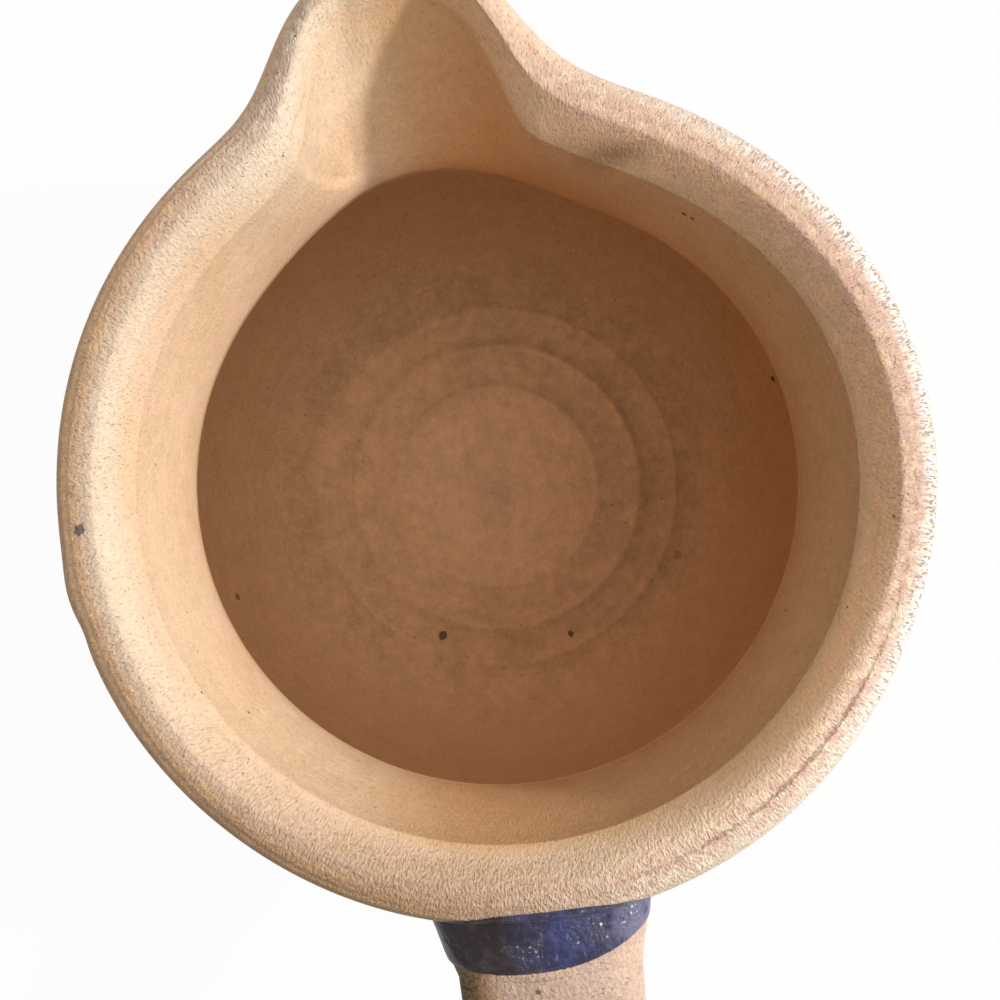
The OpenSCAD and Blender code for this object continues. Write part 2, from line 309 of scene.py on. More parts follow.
    def foot(self, angle: Array, count: int) -> Array:
        """Returns the outside of the turned foot, with softened corners."""
        radius, bevel, height = self.foot_radius, self.foot_bevel, self.foot_height
        corners = np.array(
            [(radius - bevel, 0), (radius, bevel), (radius, height), (radius - self.foot_step, height + self.foot_step)]
        )
        stops = np.linspace(0, len(corners) - 1, count, endpoint=False)
        line = np.stack([np.interp(stops, np.arange(len(corners)), corners[:, i]) for i in (0, 1)], axis=-1)
        for _ in range(2):
            line[1:-1] = (line[:-2] + 2 * line[1:-1] + line[2:]) / 4
        return np.broadcast_to(line[None], (len(angle), count, 2)).copy()

    def floor(self, angle: Array, count: int) -> Array:
        """Returns the floor inside, flat, with its points crowded where its throwing rings are raised later."""
        stops = np.linspace(self.floor_radius, 0.6, 600)
        crowd = 1.0 + 2.0 * sum(bell(stops - ring - 0.4, 1.0) for ring in FLOOR_RINGS)
        reach = np.concatenate([[0.0], np.cumsum((crowd[1:] + crowd[:-1]) / 2)])
        radius = np.interp(np.linspace(0.0, reach[-1], count), reach, stops)
        line = np.stack([radius, np.full(count, self.floor_thickness)], axis=-1)
        return np.broadcast_to(line[None], (len(angle), count, 2)).copy()


class Signal:
    """A number on a node's output. Python's operators on it add Math nodes to its graph."""

    def __init__(self, graph: "Graph", socket: bpy.types.NodeSocket) -> None:
        """Wraps a socket of a graph."""
        self.graph = graph
        self.socket = socket

    def __add__(self, other: "Signal | float") -> "Signal":
        """Returns the sum."""
        return self.graph.math("ADD", self, other)

    def __radd__(self, other: float) -> "Signal":
        """Returns the sum with a number on the left."""
        return self.graph.math("ADD", other, self)

    def __sub__(self, other: "Signal | float") -> "Signal":
        """Returns the difference."""
        return self.graph.math("SUBTRACT", self, other)

    def __rsub__(self, other: float) -> "Signal":
        """Returns a number less the signal."""
        return self.graph.math("SUBTRACT", other, self)

    def __mul__(self, other: "Signal | float") -> "Signal":
        """Returns the product."""
        return self.graph.math("MULTIPLY", self, other)

    def __rmul__(self, other: float) -> "Signal":
        """Returns the product with a number on the left."""
        return self.graph.math("MULTIPLY", other, self)

    def __truediv__(self, other: "Signal | float") -> "Signal":
        """Returns the quotient."""
        return self.graph.math("DIVIDE", self, other)

    def __pow__(self, power: float) -> "Signal":
        """Returns the signal raised to a power."""
        return self.graph.math("POWER", self, power)

    def at_least(self, other: "Signal | float") -> "Signal":
        """Returns the larger of the two."""
        return self.graph.math("MAXIMUM", self, other)

    def at_most(self, other: "Signal | float") -> "Signal":
        """Returns the smaller of the two."""
        return self.graph.math("MINIMUM", self, other)

    def above(self, level: float) -> "Signal":
        """Returns 1 where the signal is above a level, and 0 elsewhere."""
        return self.graph.math("GREATER_THAN", self, level)

    def size(self) -> "Signal":
        """Returns the signal without its sign."""
        return self.graph.math("ABSOLUTE", self)

    def sine(self) -> "Signal":
        """Returns the sine, in radians."""
        return self.graph.math("SINE", self)

    def cosine(self) -> "Signal":
        """Returns the cosine, in radians."""
        return self.graph.math("COSINE", self)

    def rounded(self, power: float) -> "Signal":
        """Returns the signal's size raised to a power, with the signal's own sign."""
        return self.graph.math("SIGN", self) * self.graph.math("ABSOLUTE", self) ** power

    def ramp(self, low: float, high: float) -> "Signal":
        """Returns a smooth rise from 0 at low to 1 at high, or a fall where high is below low."""
        node = self.graph.node(
            "ShaderNodeMapRange",
            {"interpolation_type": "SMOOTHSTEP"},
            {"Value": self, "From Min": low, "From Max": high},
        )
        return Signal(self.graph, node.outputs["Result"])


class Graph:
    """A node tree of a material or of Geometry Nodes, with one method that adds any node."""

    def __init__(self, tree: bpy.types.NodeTree) -> None:
        """Wraps a tree."""
        self.tree = tree

    def node(
        self, kind: str, settings: dict[str, Any] | None = None, inputs: dict[str | int, Any] | None = None
    ) -> bpy.types.Node:
        """Adds a node.

        Args:
            kind: The node's type, such as "ShaderNodeMath".
            settings: The node's own properties, which are set first, since some change its sockets.
            inputs: Values or links of its inputs, by name or by number.

        Returns:
            The new node.
        """
        node = self.tree.nodes.new(kind)
        for name, value in (settings or {}).items():
            setattr(node, name, value)
        for name, value in (inputs or {}).items():
            self.feed(node.inputs[name], value)
        return node

    def feed(self, socket: bpy.types.NodeSocket, value: Any) -> None:
        """Links a signal or a socket to an input, or sets the input's own value."""
        if isinstance(value, Signal):
            value = value.socket
        if isinstance(value, bpy.types.NodeSocket):
            self.tree.links.new(value, socket)
        elif socket.type == "RGBA":
            socket.default_value = (*value, 1.0)
        else:
            socket.default_value = value

    def math(self, operation: str, *values: Signal | float) -> Signal:
        """Adds a Math node and returns its value."""
        node = self.node("ShaderNodeMath", {"operation": operation}, dict(enumerate(values)))
        return Signal(self, node.outputs[0])

    def vector(self, operation: str, *values: Any) -> bpy.types.NodeSocket:
        """Adds a Vector Math node and returns its vector."""
        node = self.node("ShaderNodeVectorMath", {"operation": operation}, dict(enumerate(values)))
        return node.outputs["Vector"]

    def scaled(self, vector: Any, factor: Signal | float) -> bpy.types.NodeSocket:
        """Returns a vector times a number."""
        node = self.node("ShaderNodeVectorMath", {"operation": "SCALE"}, {0: vector, "Scale": factor})
        return node.outputs["Vector"]

    def length(self, vector: Any) -> Signal:
        """Returns the length of a vector."""
        node = self.node("ShaderNodeVectorMath", {"operation": "LENGTH"}, {0: vector})
        return Signal(self, node.outputs["Value"])

    def between(self, start: Any, end: Any, share: Any) -> bpy.types.NodeSocket:
        """Returns the vector that lies a share of the way from start to end."""
        node = self.node("ShaderNodeMix", {"data_type": "VECTOR"}, {"Factor": share})
        self.feed(node.inputs[4], start)
        self.feed(node.inputs[5], end)
        return node.outputs[1]

    def split(self, vector: Any) -> tuple[Signal, Signal, Signal]:
        """Returns the three parts of a vector."""
        node = self.node("ShaderNodeSeparateXYZ", inputs={0: vector})
        return tuple(Signal(self, out) for out in node.outputs)

    def join(self, x: Any, y: Any, z: Any) -> bpy.types.NodeSocket:
        """Returns a vector made of three numbers."""
        return self.node("ShaderNodeCombineXYZ", inputs={0: x, 1: y, 2: z}).outputs[0]

    def noise(self, where: Any, scale: float, detail: float = 2.0, roughness: float = 0.5, seed: Any = 0.0) -> Signal:
        """Returns smooth noise around 0.5.

        Args:
            where: The point to read it at.
            scale: Number of features for each unit of length.
            detail: Number of finer layers.
            roughness: Strength of the finer layers.
            seed: A number that changes the pattern.

        Returns:
            The noise, mostly between 0.25 and 0.75.
        """
        node = self.node(
            "ShaderNodeTexNoise",
            {"noise_dimensions": "4D"},
            {"Vector": where, "W": seed, "Scale": scale, "Detail": detail, "Roughness": roughness},
        )
        return Signal(self, node.outputs[0])


class ShapeTree(Graph):
    """A Geometry Nodes tree with named inputs, whose result becomes a piece's plain mesh."""

    KINDS = {float: "NodeSocketFloat", int: "NodeSocketInt", tuple: "NodeSocketVector"}

    def __init__(self, name: str, values: dict[str, Any]) -> None:
        """Makes a tree with an input for each value.

        Args:
            name: The tree's name.
            values: Names and values of its inputs, lengths in metres.
        """
        super().__init__(bpy.data.node_groups.new(name, "GeometryNodeTree"))
        face = self.tree.interface
        face.new_socket("Geometry", in_out="INPUT", socket_type="NodeSocketGeometry")
        for key, value in values.items():
            face.new_socket(key, in_out="INPUT", socket_type=self.KINDS[type(value)])
        face.new_socket("Material", in_out="INPUT", socket_type="NodeSocketMaterial")
        face.new_socket("Geometry", in_out="OUTPUT", socket_type="NodeSocketGeometry")
        self.values = values
        self.entry = self.node("NodeGroupInput")

    def given(self, name: str) -> Signal:
        """Returns one of the tree's inputs."""
        return Signal(self, self.entry.outputs[name])

    def stored(self, name: str) -> Signal:
        """Returns a number that the mesh carries."""
        node = self.node("GeometryNodeInputNamedAttribute", {"data_type": "FLOAT"}, {"Name": name})
        return Signal(self, node.outputs["Attribute"])

    def finish(self, geometry: bpy.types.NodeSocket) -> None:
        """Ends the tree in real, dressed geometry."""
        real = self.node("GeometryNodeRealizeInstances", inputs={0: geometry}).outputs[0]
        dressed = self.node("GeometryNodeSetMaterial", inputs={"Geometry": real, "Material": self.entry.outputs["Material"]})
        self.node("NodeGroupOutput", inputs={0: dressed.outputs[0]})

    def apply(self, piece: bpy.types.Object, material: bpy.types.Material) -> None:
        """Runs the tree on a piece and keeps the result as its mesh.

        Args:
            piece: The piece, whose mesh is replaced.
            material: The material that the result gets.
        """
        modifier = piece.modifiers.new("shape", "NODES")
        modifier.node_group = self.tree
        for item in self.tree.interface.items_tree:
            if item.in_out == "INPUT" and item.name in self.values:
                modifier[item.identifier] = self.values[item.name]
            if item.in_out == "INPUT" and item.name == "Material":
                modifier[item.identifier] = material
        depsgraph = bpy.context.evaluated_depsgraph_get()
        plain = bpy.data.meshes.new_from_object(
            piece.evaluated_get(depsgraph), preserve_all_data_layers=True, depsgraph=depsgraph
        )
        piece.modifiers.remove(modifier)
        piece.data = plain
        plain.name = piece.name
        plain.shade_smooth()


class ShaderGraph(Graph):
    """A material's nodes, with the patterns that the jug's finishes share."""

    def __init__(self, name: str) -> None:
        """Makes an empty material."""
        self.material = bpy.data.materials.new(name)
        self.material.use_nodes = True
        super().__init__(self.material.node_tree)
        self.tree.nodes.clear()

    def place(self) -> bpy.types.NodeSocket:
        """Returns the point's place on the object, in metres."""
        return self.node("ShaderNodeTexCoord").outputs["Object"]

    def attribute(self, name: str) -> Signal:
        """Returns a number that the mesh carries."""
        return Signal(self, self.node("ShaderNodeAttribute", {"attribute_name": name}).outputs["Fac"])

    def scatter(self, where: Any, scale: float) -> tuple[Signal, Signal]:
        """Returns the distance to the nearest of many scattered points, and a random number for that point."""
        node = self.node("ShaderNodeTexVoronoi", inputs={"Vector": where, "Scale": scale})
        return Signal(self, node.outputs["Distance"]), self.split(node.outputs["Color"])[0]

    def blend(self, low: Any, high: Any, share: Any) -> bpy.types.NodeSocket:
        """Returns the colour that lies a share of the way from low to high."""
        node = self.node("ShaderNodeMix", {"data_type": "RGBA"}, {"Factor": share})
        self.feed(node.inputs[6], low)
        self.feed(node.inputs[7], high)
        return node.outputs[2]

    def bump(self, height: Signal, distance: float) -> bpy.types.NodeSocket:
        """Returns the normal of a surface raised by a height, where 1 stands for a distance in metres."""
        return self.node("ShaderNodeBump", inputs={"Height": height, "Distance": distance}).outputs["Normal"]

    def finish(self, shader: bpy.types.NodeSocket) -> bpy.types.Material:
        """Ends the material with a shader and returns it."""
        self.node("ShaderNodeOutputMaterial", inputs={"Surface": shader})
        return self.material


class Grain(Enum):
    """The way in which the clay was worked, which its fine lines follow."""

    TURNED = "turned"
    PULLED = "pulled"


@dataclass(frozen=True)
class Spot:
    """One speck or pit in the clay, by its place and radius in millimetres."""

    place: tuple[float, float, float]
    radius: float
    colour: Colour = (0.200, 0.090, 0.045)
    strength: float = 0.9


@dataclass(frozen=True)
class CobaltGlaze:
    """Cobalt blue brushed on the clay and fired glossy, with painted shade that darkens its left side to brown-black
    and painted glints where it crawled.
    """

    deep: Colour = (0.020, 0.018, 0.060)
    bright: Colour = (0.042, 0.046, 0.150)
    veil: Colour = (0.100, 0.088, 0.130)
    mist: Colour = (0.190, 0.175, 0.260)
    fleck: Colour = (0.230, 0.250, 0.440)
    # Painted highlight: near-white flecks that stand for glints of the lamp on the crawled beads.
    painted_glint: Colour = (0.800, 0.820, 0.920)
    # Painted shade: brown-black for the band's left side, which faces away from the light.
    left_shade: Colour = (0.018, 0.006, 0.004)
    left_shade_from: float = 0.0
    left_shade_to: float = -0.0050
    beads: tuple[tuple[float, float, float], ...] = ((41.6, 4.2, 1.6), (42.6, -3.6, 0.6), (42.7, -1.6, 0.4), (41.0, 7.2, 0.9))

    def colour(self, graph: ShaderGraph) -> bpy.types.NodeSocket:
        """Adds the nodes of the glaze's colour and returns its socket."""
        place = graph.place()
        x, y, z = graph.split(place)
        blue = graph.blend(self.deep, self.bright, graph.noise(place, 300.0, 3.0, 0.6).ramp(0.42, 0.62))
        blue = graph.blend(blue, self.veil, graph.noise(place, 650.0, 4.0, 0.7, 1.0).ramp(0.52, 0.70) * 0.7)
        streaks = graph.noise(graph.join(x * 900.0, y * 4200.0, z * 900.0), 1.0, 2.0, 0.6)
        blue = graph.blend(blue, self.fleck, streaks.ramp(0.58, 0.70) * 0.5)
        # The blue turns a misty grey towards the band's right side.
        greyer_right = graph.noise(place, 420.0, 3.0, 0.6, 5.0).ramp(0.40, 0.60) * y.ramp(0.0030, 0.0085)
        blue = graph.blend(blue, self.mist, greyer_right * 0.85)
        # Painted highlight: near-white flecks in the crawled beads stand for glints of the lamp.
        distance, pick = graph.scatter(place, 1600.0)
        distance = distance + (graph.noise(place, 4200.0, 2.0) - 0.5) * 0.5
        painted_glints = distance.ramp(0.28, 0.18) * pick.ramp(0.42, 0.72) * (self.crawled(graph) * 1.3).at_most(1.0)
        blue = graph.blend(blue, self.painted_glint, painted_glints)
        # Painted shade: the band turns brown-black towards its left side, which faces away from the light.
        left_shade = (y + (graph.noise(place, 300.0, 2.0, 0.5, 3.0) - 0.5) * 0.006).ramp(self.left_shade_from, self.left_shade_to)
        return graph.blend(blue, self.left_shade, left_shade * 0.95)

    def crawled(self, graph: ShaderGraph) -> Signal:
        """Returns where the glaze has crawled into beads."""
        x, y, _ = graph.split(graph.place())
        wet = graph.noise(graph.place(), 420.0, 1.0, 0.5, 6.0).ramp(0.56, 0.66) * 0.5
        for across, along, radius in self.beads:
            away = graph.length(graph.join(x - across * MM, y - along * MM, 0.0))
            ragged = away + (graph.noise(graph.place(), 900.0) - 0.5) * 0.0014
            wet = wet.at_least(ragged.ramp(radius * MM, radius * MM * 0.6))
        return wet

    def gloss(self, graph: ShaderGraph) -> Signal:
        """Returns how glassy the glaze is: most where it crawled, and duller towards the band's left side."""
        y = graph.split(graph.place())[1]
        return self.crawled(graph) * 0.7 + y.ramp(-0.0055, 0.0005) * 0.18

    def relief(self, graph: ShaderGraph) -> Signal:
        """Returns the height of the crawled glaze: broad swells, and beads in some places that catch the light."""
        place = graph.place()
        beads = (graph.noise(place, 2300.0, 1.5, 0.6, 1.0) - 0.5) * self.crawled(graph)
        return graph.noise(place, 700.0, 2.0, 0.5) * 3.0 + beads * 5.0


@dataclass(frozen=True)
class WornMarks:
    """Where a clay surface is marked: pits and rugged skin, ridges of its floor and cracks of its lip."""

    pits: Signal
    skin: Signal
    ridges: Signal | None = None
    cracks: Signal | None = None


@dataclass(frozen=True)
class ClayFinish:
    """Fired buff stoneware: pitted, flecked with iron and finely lined by the hand that worked it, with light and shade
    painted into its colour.
    """

    name: str
    grain: Grain = Grain.TURNED
    spots: tuple[Spot, ...] = ()
    glaze: CobaltGlaze = CobaltGlaze()
    pale: Colour = (0.840, 0.605, 0.400)
    warm: Colour = (0.800, 0.550, 0.345)
    peach: Colour = (0.830, 0.570, 0.405)
    # Partly painted shade: the inner clay's toast brown, laid deepest where the throat lies in shade and on the strap's
    # shaded left side.
    toast_and_shade: Colour = (0.745, 0.476, 0.252)
    # Painted shade: a deep brown for the throat where it lies in shade.
    umber_shade: Colour = (0.610, 0.300, 0.125)
    # Painted light: a warm amber for the left outside of the lip and neck, which lies in shade.
    shade_amber: Colour = (0.980, 0.620, 0.330)
    # Painted light: a golden colour that stands for warm light falling on the shaded bevel.
    shade_honey: Colour = (0.940, 0.562, 0.295)
    # Painted light: a pale cream for the parts of the lip, bevel and spout that face the light.
    cream: Colour = (0.880, 0.730, 0.545)
    blush: Colour = (0.700, 0.440, 0.320)
    # Painted highlight: a silvery white sheen for the outer lip on the far side.
    painted_sheen: Colour = (0.900, 0.870, 0.830)
    crack: Colour = (0.300, 0.190, 0.120)
    iron: Colour = (0.170, 0.080, 0.040)
    peel_depth: float = 0.00020
    groove_place: float = 0.0011
    crease_place: float = 0.00495
    ridges: tuple[tuple[float, float, float], ...] = ((12.4, 0.5, 0.8), (17.6, 0.8, 1.0), (22.2, 0.7, 0.9), (9.0, 0.6, 0.3))
    roughness: float = 0.68
    shine: float = 0.30

    def around(self, graph: ShaderGraph) -> tuple[Signal, Signal]:
        """Returns the direction from the jug's axis as two numbers, which have no seam."""
        x, y, _ = graph.split(graph.place())
        radius = (x * x + y * y) ** 0.5 + 0.0005
        return x / radius, y / radius

    def drawn(self, graph: ShaderGraph, fine: float, long: float) -> bpy.types.NodeSocket:
        """Returns a place to read a pattern at, drawn out in the way in which the clay was worked.

        Args:
            graph: The material's nodes.
            fine: Features for each metre across the lines.
            long: Features for each metre along the lines.

        Returns:
            The place's socket.
        """
        if self.grain is Grain.PULLED:
            x, y, z = graph.split(graph.place())
            return graph.join(x * long, y * fine, z * long)
        lip_radius = 0.04
        cosine, sine = self.around(graph)
        return graph.join(graph.attribute("arc") * fine, cosine * (long * lip_radius), sine * (long * lip_radius))

    def flecks(self, graph: ShaderGraph) -> Signal:
        """Returns where iron flecks show: many fine ones, more of them on stained clay and on painted shade, and a few
        large ones.
        """
        place = graph.place()
        fine_distance, fine_pick = graph.scatter(place, 800.0)
        often = fine_pick + graph.attribute("stain_and_shade") * 1.5
        fine = fine_distance.ramp(0.14, 0.05) * often.ramp(0.66, 0.92) * 0.6
        large_distance, large_pick = graph.scatter(place, 110.0)
        large = large_distance.ramp(0.045, 0.024) * large_pick.ramp(0.87, 0.90) * 0.8
        return fine.at_least(large)

    def marks(self, graph: ShaderGraph) -> WornMarks:
        """Adds the nodes that say where the surface is marked, which its colour and its relief share."""
        turned = self.grain is Grain.TURNED
        pits = graph.noise(self.drawn(graph, 2900.0, 5600.0) if turned else graph.place(), 1.0 if turned else 3400.0, 1.5)
        pits = pits.ramp(0.38, 0.28) * graph.attribute("peel")
        skin = graph.noise(self.drawn(graph, 2300.0, 3900.0) if turned else graph.place(), 1.0 if turned else 2600.0, 2.0, 0.6)
        skin = (skin - 0.5) * graph.attribute("rugged")
        if not turned:
            return WornMarks(pits, skin)
        return WornMarks(pits, skin, self.floor_ridges(graph), self.lip_cracks(graph))

    def floor_ridges(self, graph: ShaderGraph) -> Signal:
        """Returns the fine ridges of the spiral that the last finger left on the floor, up to 1."""
        x, y, _ = graph.split(graph.place())
        radius = (x * x + y * y) ** 0.5
        radius = radius + (graph.noise(graph.place(), 70.0) - 0.5) * 0.0012 + x * 0.02 + y * 0.012
        lines = graph.math("ADD", 0.0, 0.0)
        for ring, width, height in self.ridges:
            lines = lines + (radius - ring * MM).size().ramp(width * MM, 0.0) * height
        worn = graph.noise(graph.place(), 160.0).ramp(0.36, 0.56)
        return lines * worn * graph.attribute("ground")

    def lip_cracks(self, graph: ShaderGraph) -> Signal:
        """Returns where the lip's dry skin has cracked: short lines across it, and one ragged line along it."""
        across = graph.noise(self.drawn(graph, 1300.0, 5200.0), 1.0, 1.0, 0.5).ramp(0.55, 0.64)
        stray = (graph.noise(graph.place(), 2400.0, 3.0, 0.7) - 0.5) * 0.0013
        away = (graph.attribute("from_crest") + self.groove_place + stray).size()
        along = away.ramp(0.00020, 0.00004) * graph.noise(graph.place(), 800.0, 2.0, 0.6).ramp(0.46, 0.66)
        along = along * graph.attribute("far_side") * 0.6
        seam = away.ramp(0.00024, 0.00006) * graph.noise(graph.place(), 500.0).ramp(0.30, 0.45) * graph.attribute("seam") * 0.7
        return (across * graph.attribute("painted_sheen")).at_least(along).at_least(seam)

    def colour(self, graph: ShaderGraph, marks: WornMarks) -> bpy.types.NodeSocket:
        """Adds the nodes of the clay's colour.

        Args:
            graph: The material's nodes.
            marks: Where the surface is marked.

        Returns:
            The colour's socket.
        """
        place = graph.place()
        colour = graph.blend(self.pale, self.warm, graph.noise(place, 60.0, 3.0, 0.55).ramp(0.36, 0.64))
        peach = graph.noise(place, 240.0, 2.0, 0.5, 4.0).ramp(0.44, 0.62)
        colour = graph.blend(colour, self.peach, peach * 0.6)
        # Partly painted shade: the inside turns toast brown, fully where the throat lies in shade.
        colour = graph.blend(colour, self.toast_and_shade, graph.attribute("inside"))
        # Painted shade: the throat turns deep brown where it lies in shade.
        colour = graph.blend(colour, self.umber_shade, graph.attribute("umber_shade"))
        # Painted light: the shaded bevel turns golden.
        colour = graph.blend(colour, self.shade_honey, graph.attribute("shade_honey"))
        # Painted light: the shaded left outside turns a warm amber.
        colour = graph.blend(colour, self.shade_amber, graph.attribute("shade_amber"))
        # Painted light: pale cream where the lip, bevel and spout face the light.
        colour = graph.blend(colour, self.cream, graph.attribute("cream"))
        colour = graph.blend(colour, self.blush, graph.attribute("blush") * graph.noise(place, 900.0, 2.0).ramp(0.30, 0.58))
        lines = graph.noise(self.drawn(graph, 1500.0, 25.0), 1.0, 2.0, 0.6)
        grain = graph.noise(place, 2600.0, 2.0, 0.6)
        mottle = graph.noise(place, 700.0, 3.0, 0.65, 2.0) + (peach - 0.5) * 0.12
        # Painted shade and light with some staining: the stain mask darkens the clay, and lightens it where it is
        # negative.
        tone = 1.0 + (lines - 0.5) * 0.14 + (grain - 0.5) * 0.36 - graph.attribute("stain_and_shade")
        # Painted shade and light of the relief: pits are darker, and the rugged skin is lighter where it stands high
        # and darker where low.
        tone = tone + (mottle - 0.5) * (graph.attribute("ground") * 0.40 + 0.26) - marks.pits * 0.14 + marks.skin * 0.55
        if self.grain is Grain.TURNED:
            # Painted highlight: a silvery sheen on the far side's outer lip, broken up by noise.
            shine = graph.noise(self.drawn(graph, 500.0, 3600.0), 1.0, 2.0, 0.6).ramp(0.38, 0.54)
            colour = graph.blend(colour, self.painted_sheen, graph.attribute("painted_sheen") * shine)
            # Painted shade: a dark line along the crease between bevel and throat on the far side; the floor's ridges
            # are painted a little lighter.
            crease = (graph.attribute("from_crest") - self.crease_place + (grain - 0.5) * 0.0003).size()
            tone = tone + marks.ridges * 0.05 - crease.ramp(0.00022, 0.00005) * graph.attribute("far_side") * 0.10
        colour = graph.scaled(colour, tone)
        # Where the tone is dark, partly through painted shade, the colour turns towards the shade's deep brown.
        colour = graph.blend(colour, self.umber_shade, (1.0 - tone).ramp(0.0, 0.5) * tone.at_least(0.0) * 0.5)
        colour = graph.blend(colour, self.iron, self.flecks(graph))
        if marks.cracks:
            colour = graph.blend(colour, self.crack, marks.cracks * 0.7)
        ragged = (graph.noise(place, 1900.0, 2.0, 0.6) - 0.5) * 2.0
        for spot in self.spots:
            away = graph.length(graph.vector("SUBTRACT", place, tuple(c * MM for c in spot.place)))
            shape = away / (spot.radius * MM) + ragged
            colour = graph.blend(colour, spot.colour, shape.ramp(1.15, 0.75) * spot.strength)
        return colour

    def relief(self, graph: ShaderGraph, marks: WornMarks) -> Signal:
        """Returns the height of the pits, pores, ridges and cracks, where 1 is the peel's depth.

        Args:
            graph: The material's nodes.
            marks: Where the surface is marked.

        Returns:
            The height.
        """
        height = graph.noise(graph.place(), 3200.0, 2.0, 0.55) * 0.40 - marks.pits * 0.5 + marks.skin * 1.45
        if self.grain is Grain.TURNED:
            height = height + marks.ridges * 0.5 - marks.cracks * 0.9
        return height

    def material(self) -> bpy.types.Material:
        """Builds the material: clay, and glaze where the brush has been."""
        graph = ShaderGraph(self.name)
        place = graph.place()
        marks = self.marks(graph)
        ragged = graph.attribute("paint") + (graph.noise(place, 2600.0, 2.0, 0.6) - 0.5) * 0.7
        paint = ragged.ramp(0.35, 0.6)
        grain = graph.noise(place, 700.0)
        bare = 1.0 - paint
        shader = graph.node(
            "ShaderNodeBsdfPrincipled",
            inputs={
                "Base Color": graph.blend(self.colour(graph, marks), self.glaze.colour(graph), paint),
                "Roughness": (self.roughness + (grain - 0.5) * 0.25) * bare + paint * 0.38,
                "Specular IOR Level": self.shine,
                "Coat Weight": paint * self.glaze.gloss(graph),
                "Coat Roughness": 0.12,
                "Normal": graph.bump(self.relief(graph, marks) * bare + self.glaze.relief(graph) * paint, self.peel_depth),
            },
        )
        return graph.finish(shader.outputs[0])


def new_piece(name: str, mesh: bpy.types.Mesh) -> bpy.types.Object:
    """Returns a new object of a mesh, put in the scene."""
    piece = bpy.data.objects.new(name, mesh)
    bpy.context.scene.collection.objects.link(piece)
    return piece


def carry(mesh: bpy.types.Mesh, name: str, values: Array) -> None:
    """Stores a number for each of a mesh's vertices under a name."""
    layer = mesh.attributes.new(name, "FLOAT", "POINT")
    layer.data.foreach_set("value", np.ascontiguousarray(values, dtype=np.float32).ravel())


def read_points(mesh: bpy.types.Mesh) -> Array:
    """Returns a mesh's vertices in millimetres."""
    points = np.empty(len(mesh.vertices) * 3, dtype=np.float64)
    mesh.vertices.foreach_get("co", points)
    return points.reshape(-1, 3) / MM


def write_points(mesh: bpy.types.Mesh, points: Array) -> None:
    """Moves a mesh's vertices to points in millimetres."""
    mesh.vertices.foreach_set("co", (points * MM).astype(np.float32).ravel())
    mesh.update()


def face_outwards(mesh: bpy.types.Mesh) -> None:
    """Turns a closed mesh's faces outwards."""
    work = bmesh.new()
    work.from_mesh(mesh)
    bmesh.ops.recalc_face_normals(work, faces=work.faces)
    if work.calc_volume(signed=True) < 0:
        bmesh.ops.reverse_faces(work, faces=work.faces)
    work.to_mesh(mesh)
    work.free()


@dataclass(frozen=True)
class LipGroove:
    """One groove along the lip: its place from the outer line at 0 to the crest at 1, its width and its depth.

    The shares say how much of the depth it has on the near side, at the knock, and on the far side.
    """

    place: float
    width: float
    depth: float
    near: float
    far: float


@dataclass(frozen=True)
class ThumbScoop:
    """The hollow that a thumb pressed into the spout's left wall, seen from above, in millimetres."""

    top: tuple[float, float] = (-46.0, -10.0)
    end: tuple[float, float] = (-32.3, -12.3)
    radius: float = 2.9
    depth: float = 0.42
    side_softness: float = 1.5
    end_softness: float = 0.30

    def depth_at(self, place: Array) -> Array:
        """Returns how deep the hollow is at places [..., (x, y)]."""
        top, end = np.array(self.top), np.array(self.end)
        along = (place - top) @ (end - top) / ((end - top) @ (end - top))
        nearest = top + np.clip(along, 0.0, 1.0)[..., None] * (end - top)
        away = np.linalg.norm(place - nearest, axis=-1)
        softness = mix(self.side_softness, self.end_softness, smooth_step(0.7, 1.0, along))
        return self.depth * np.clip((self.radius - away) / softness, 0.0, 1.0) ** 1.5


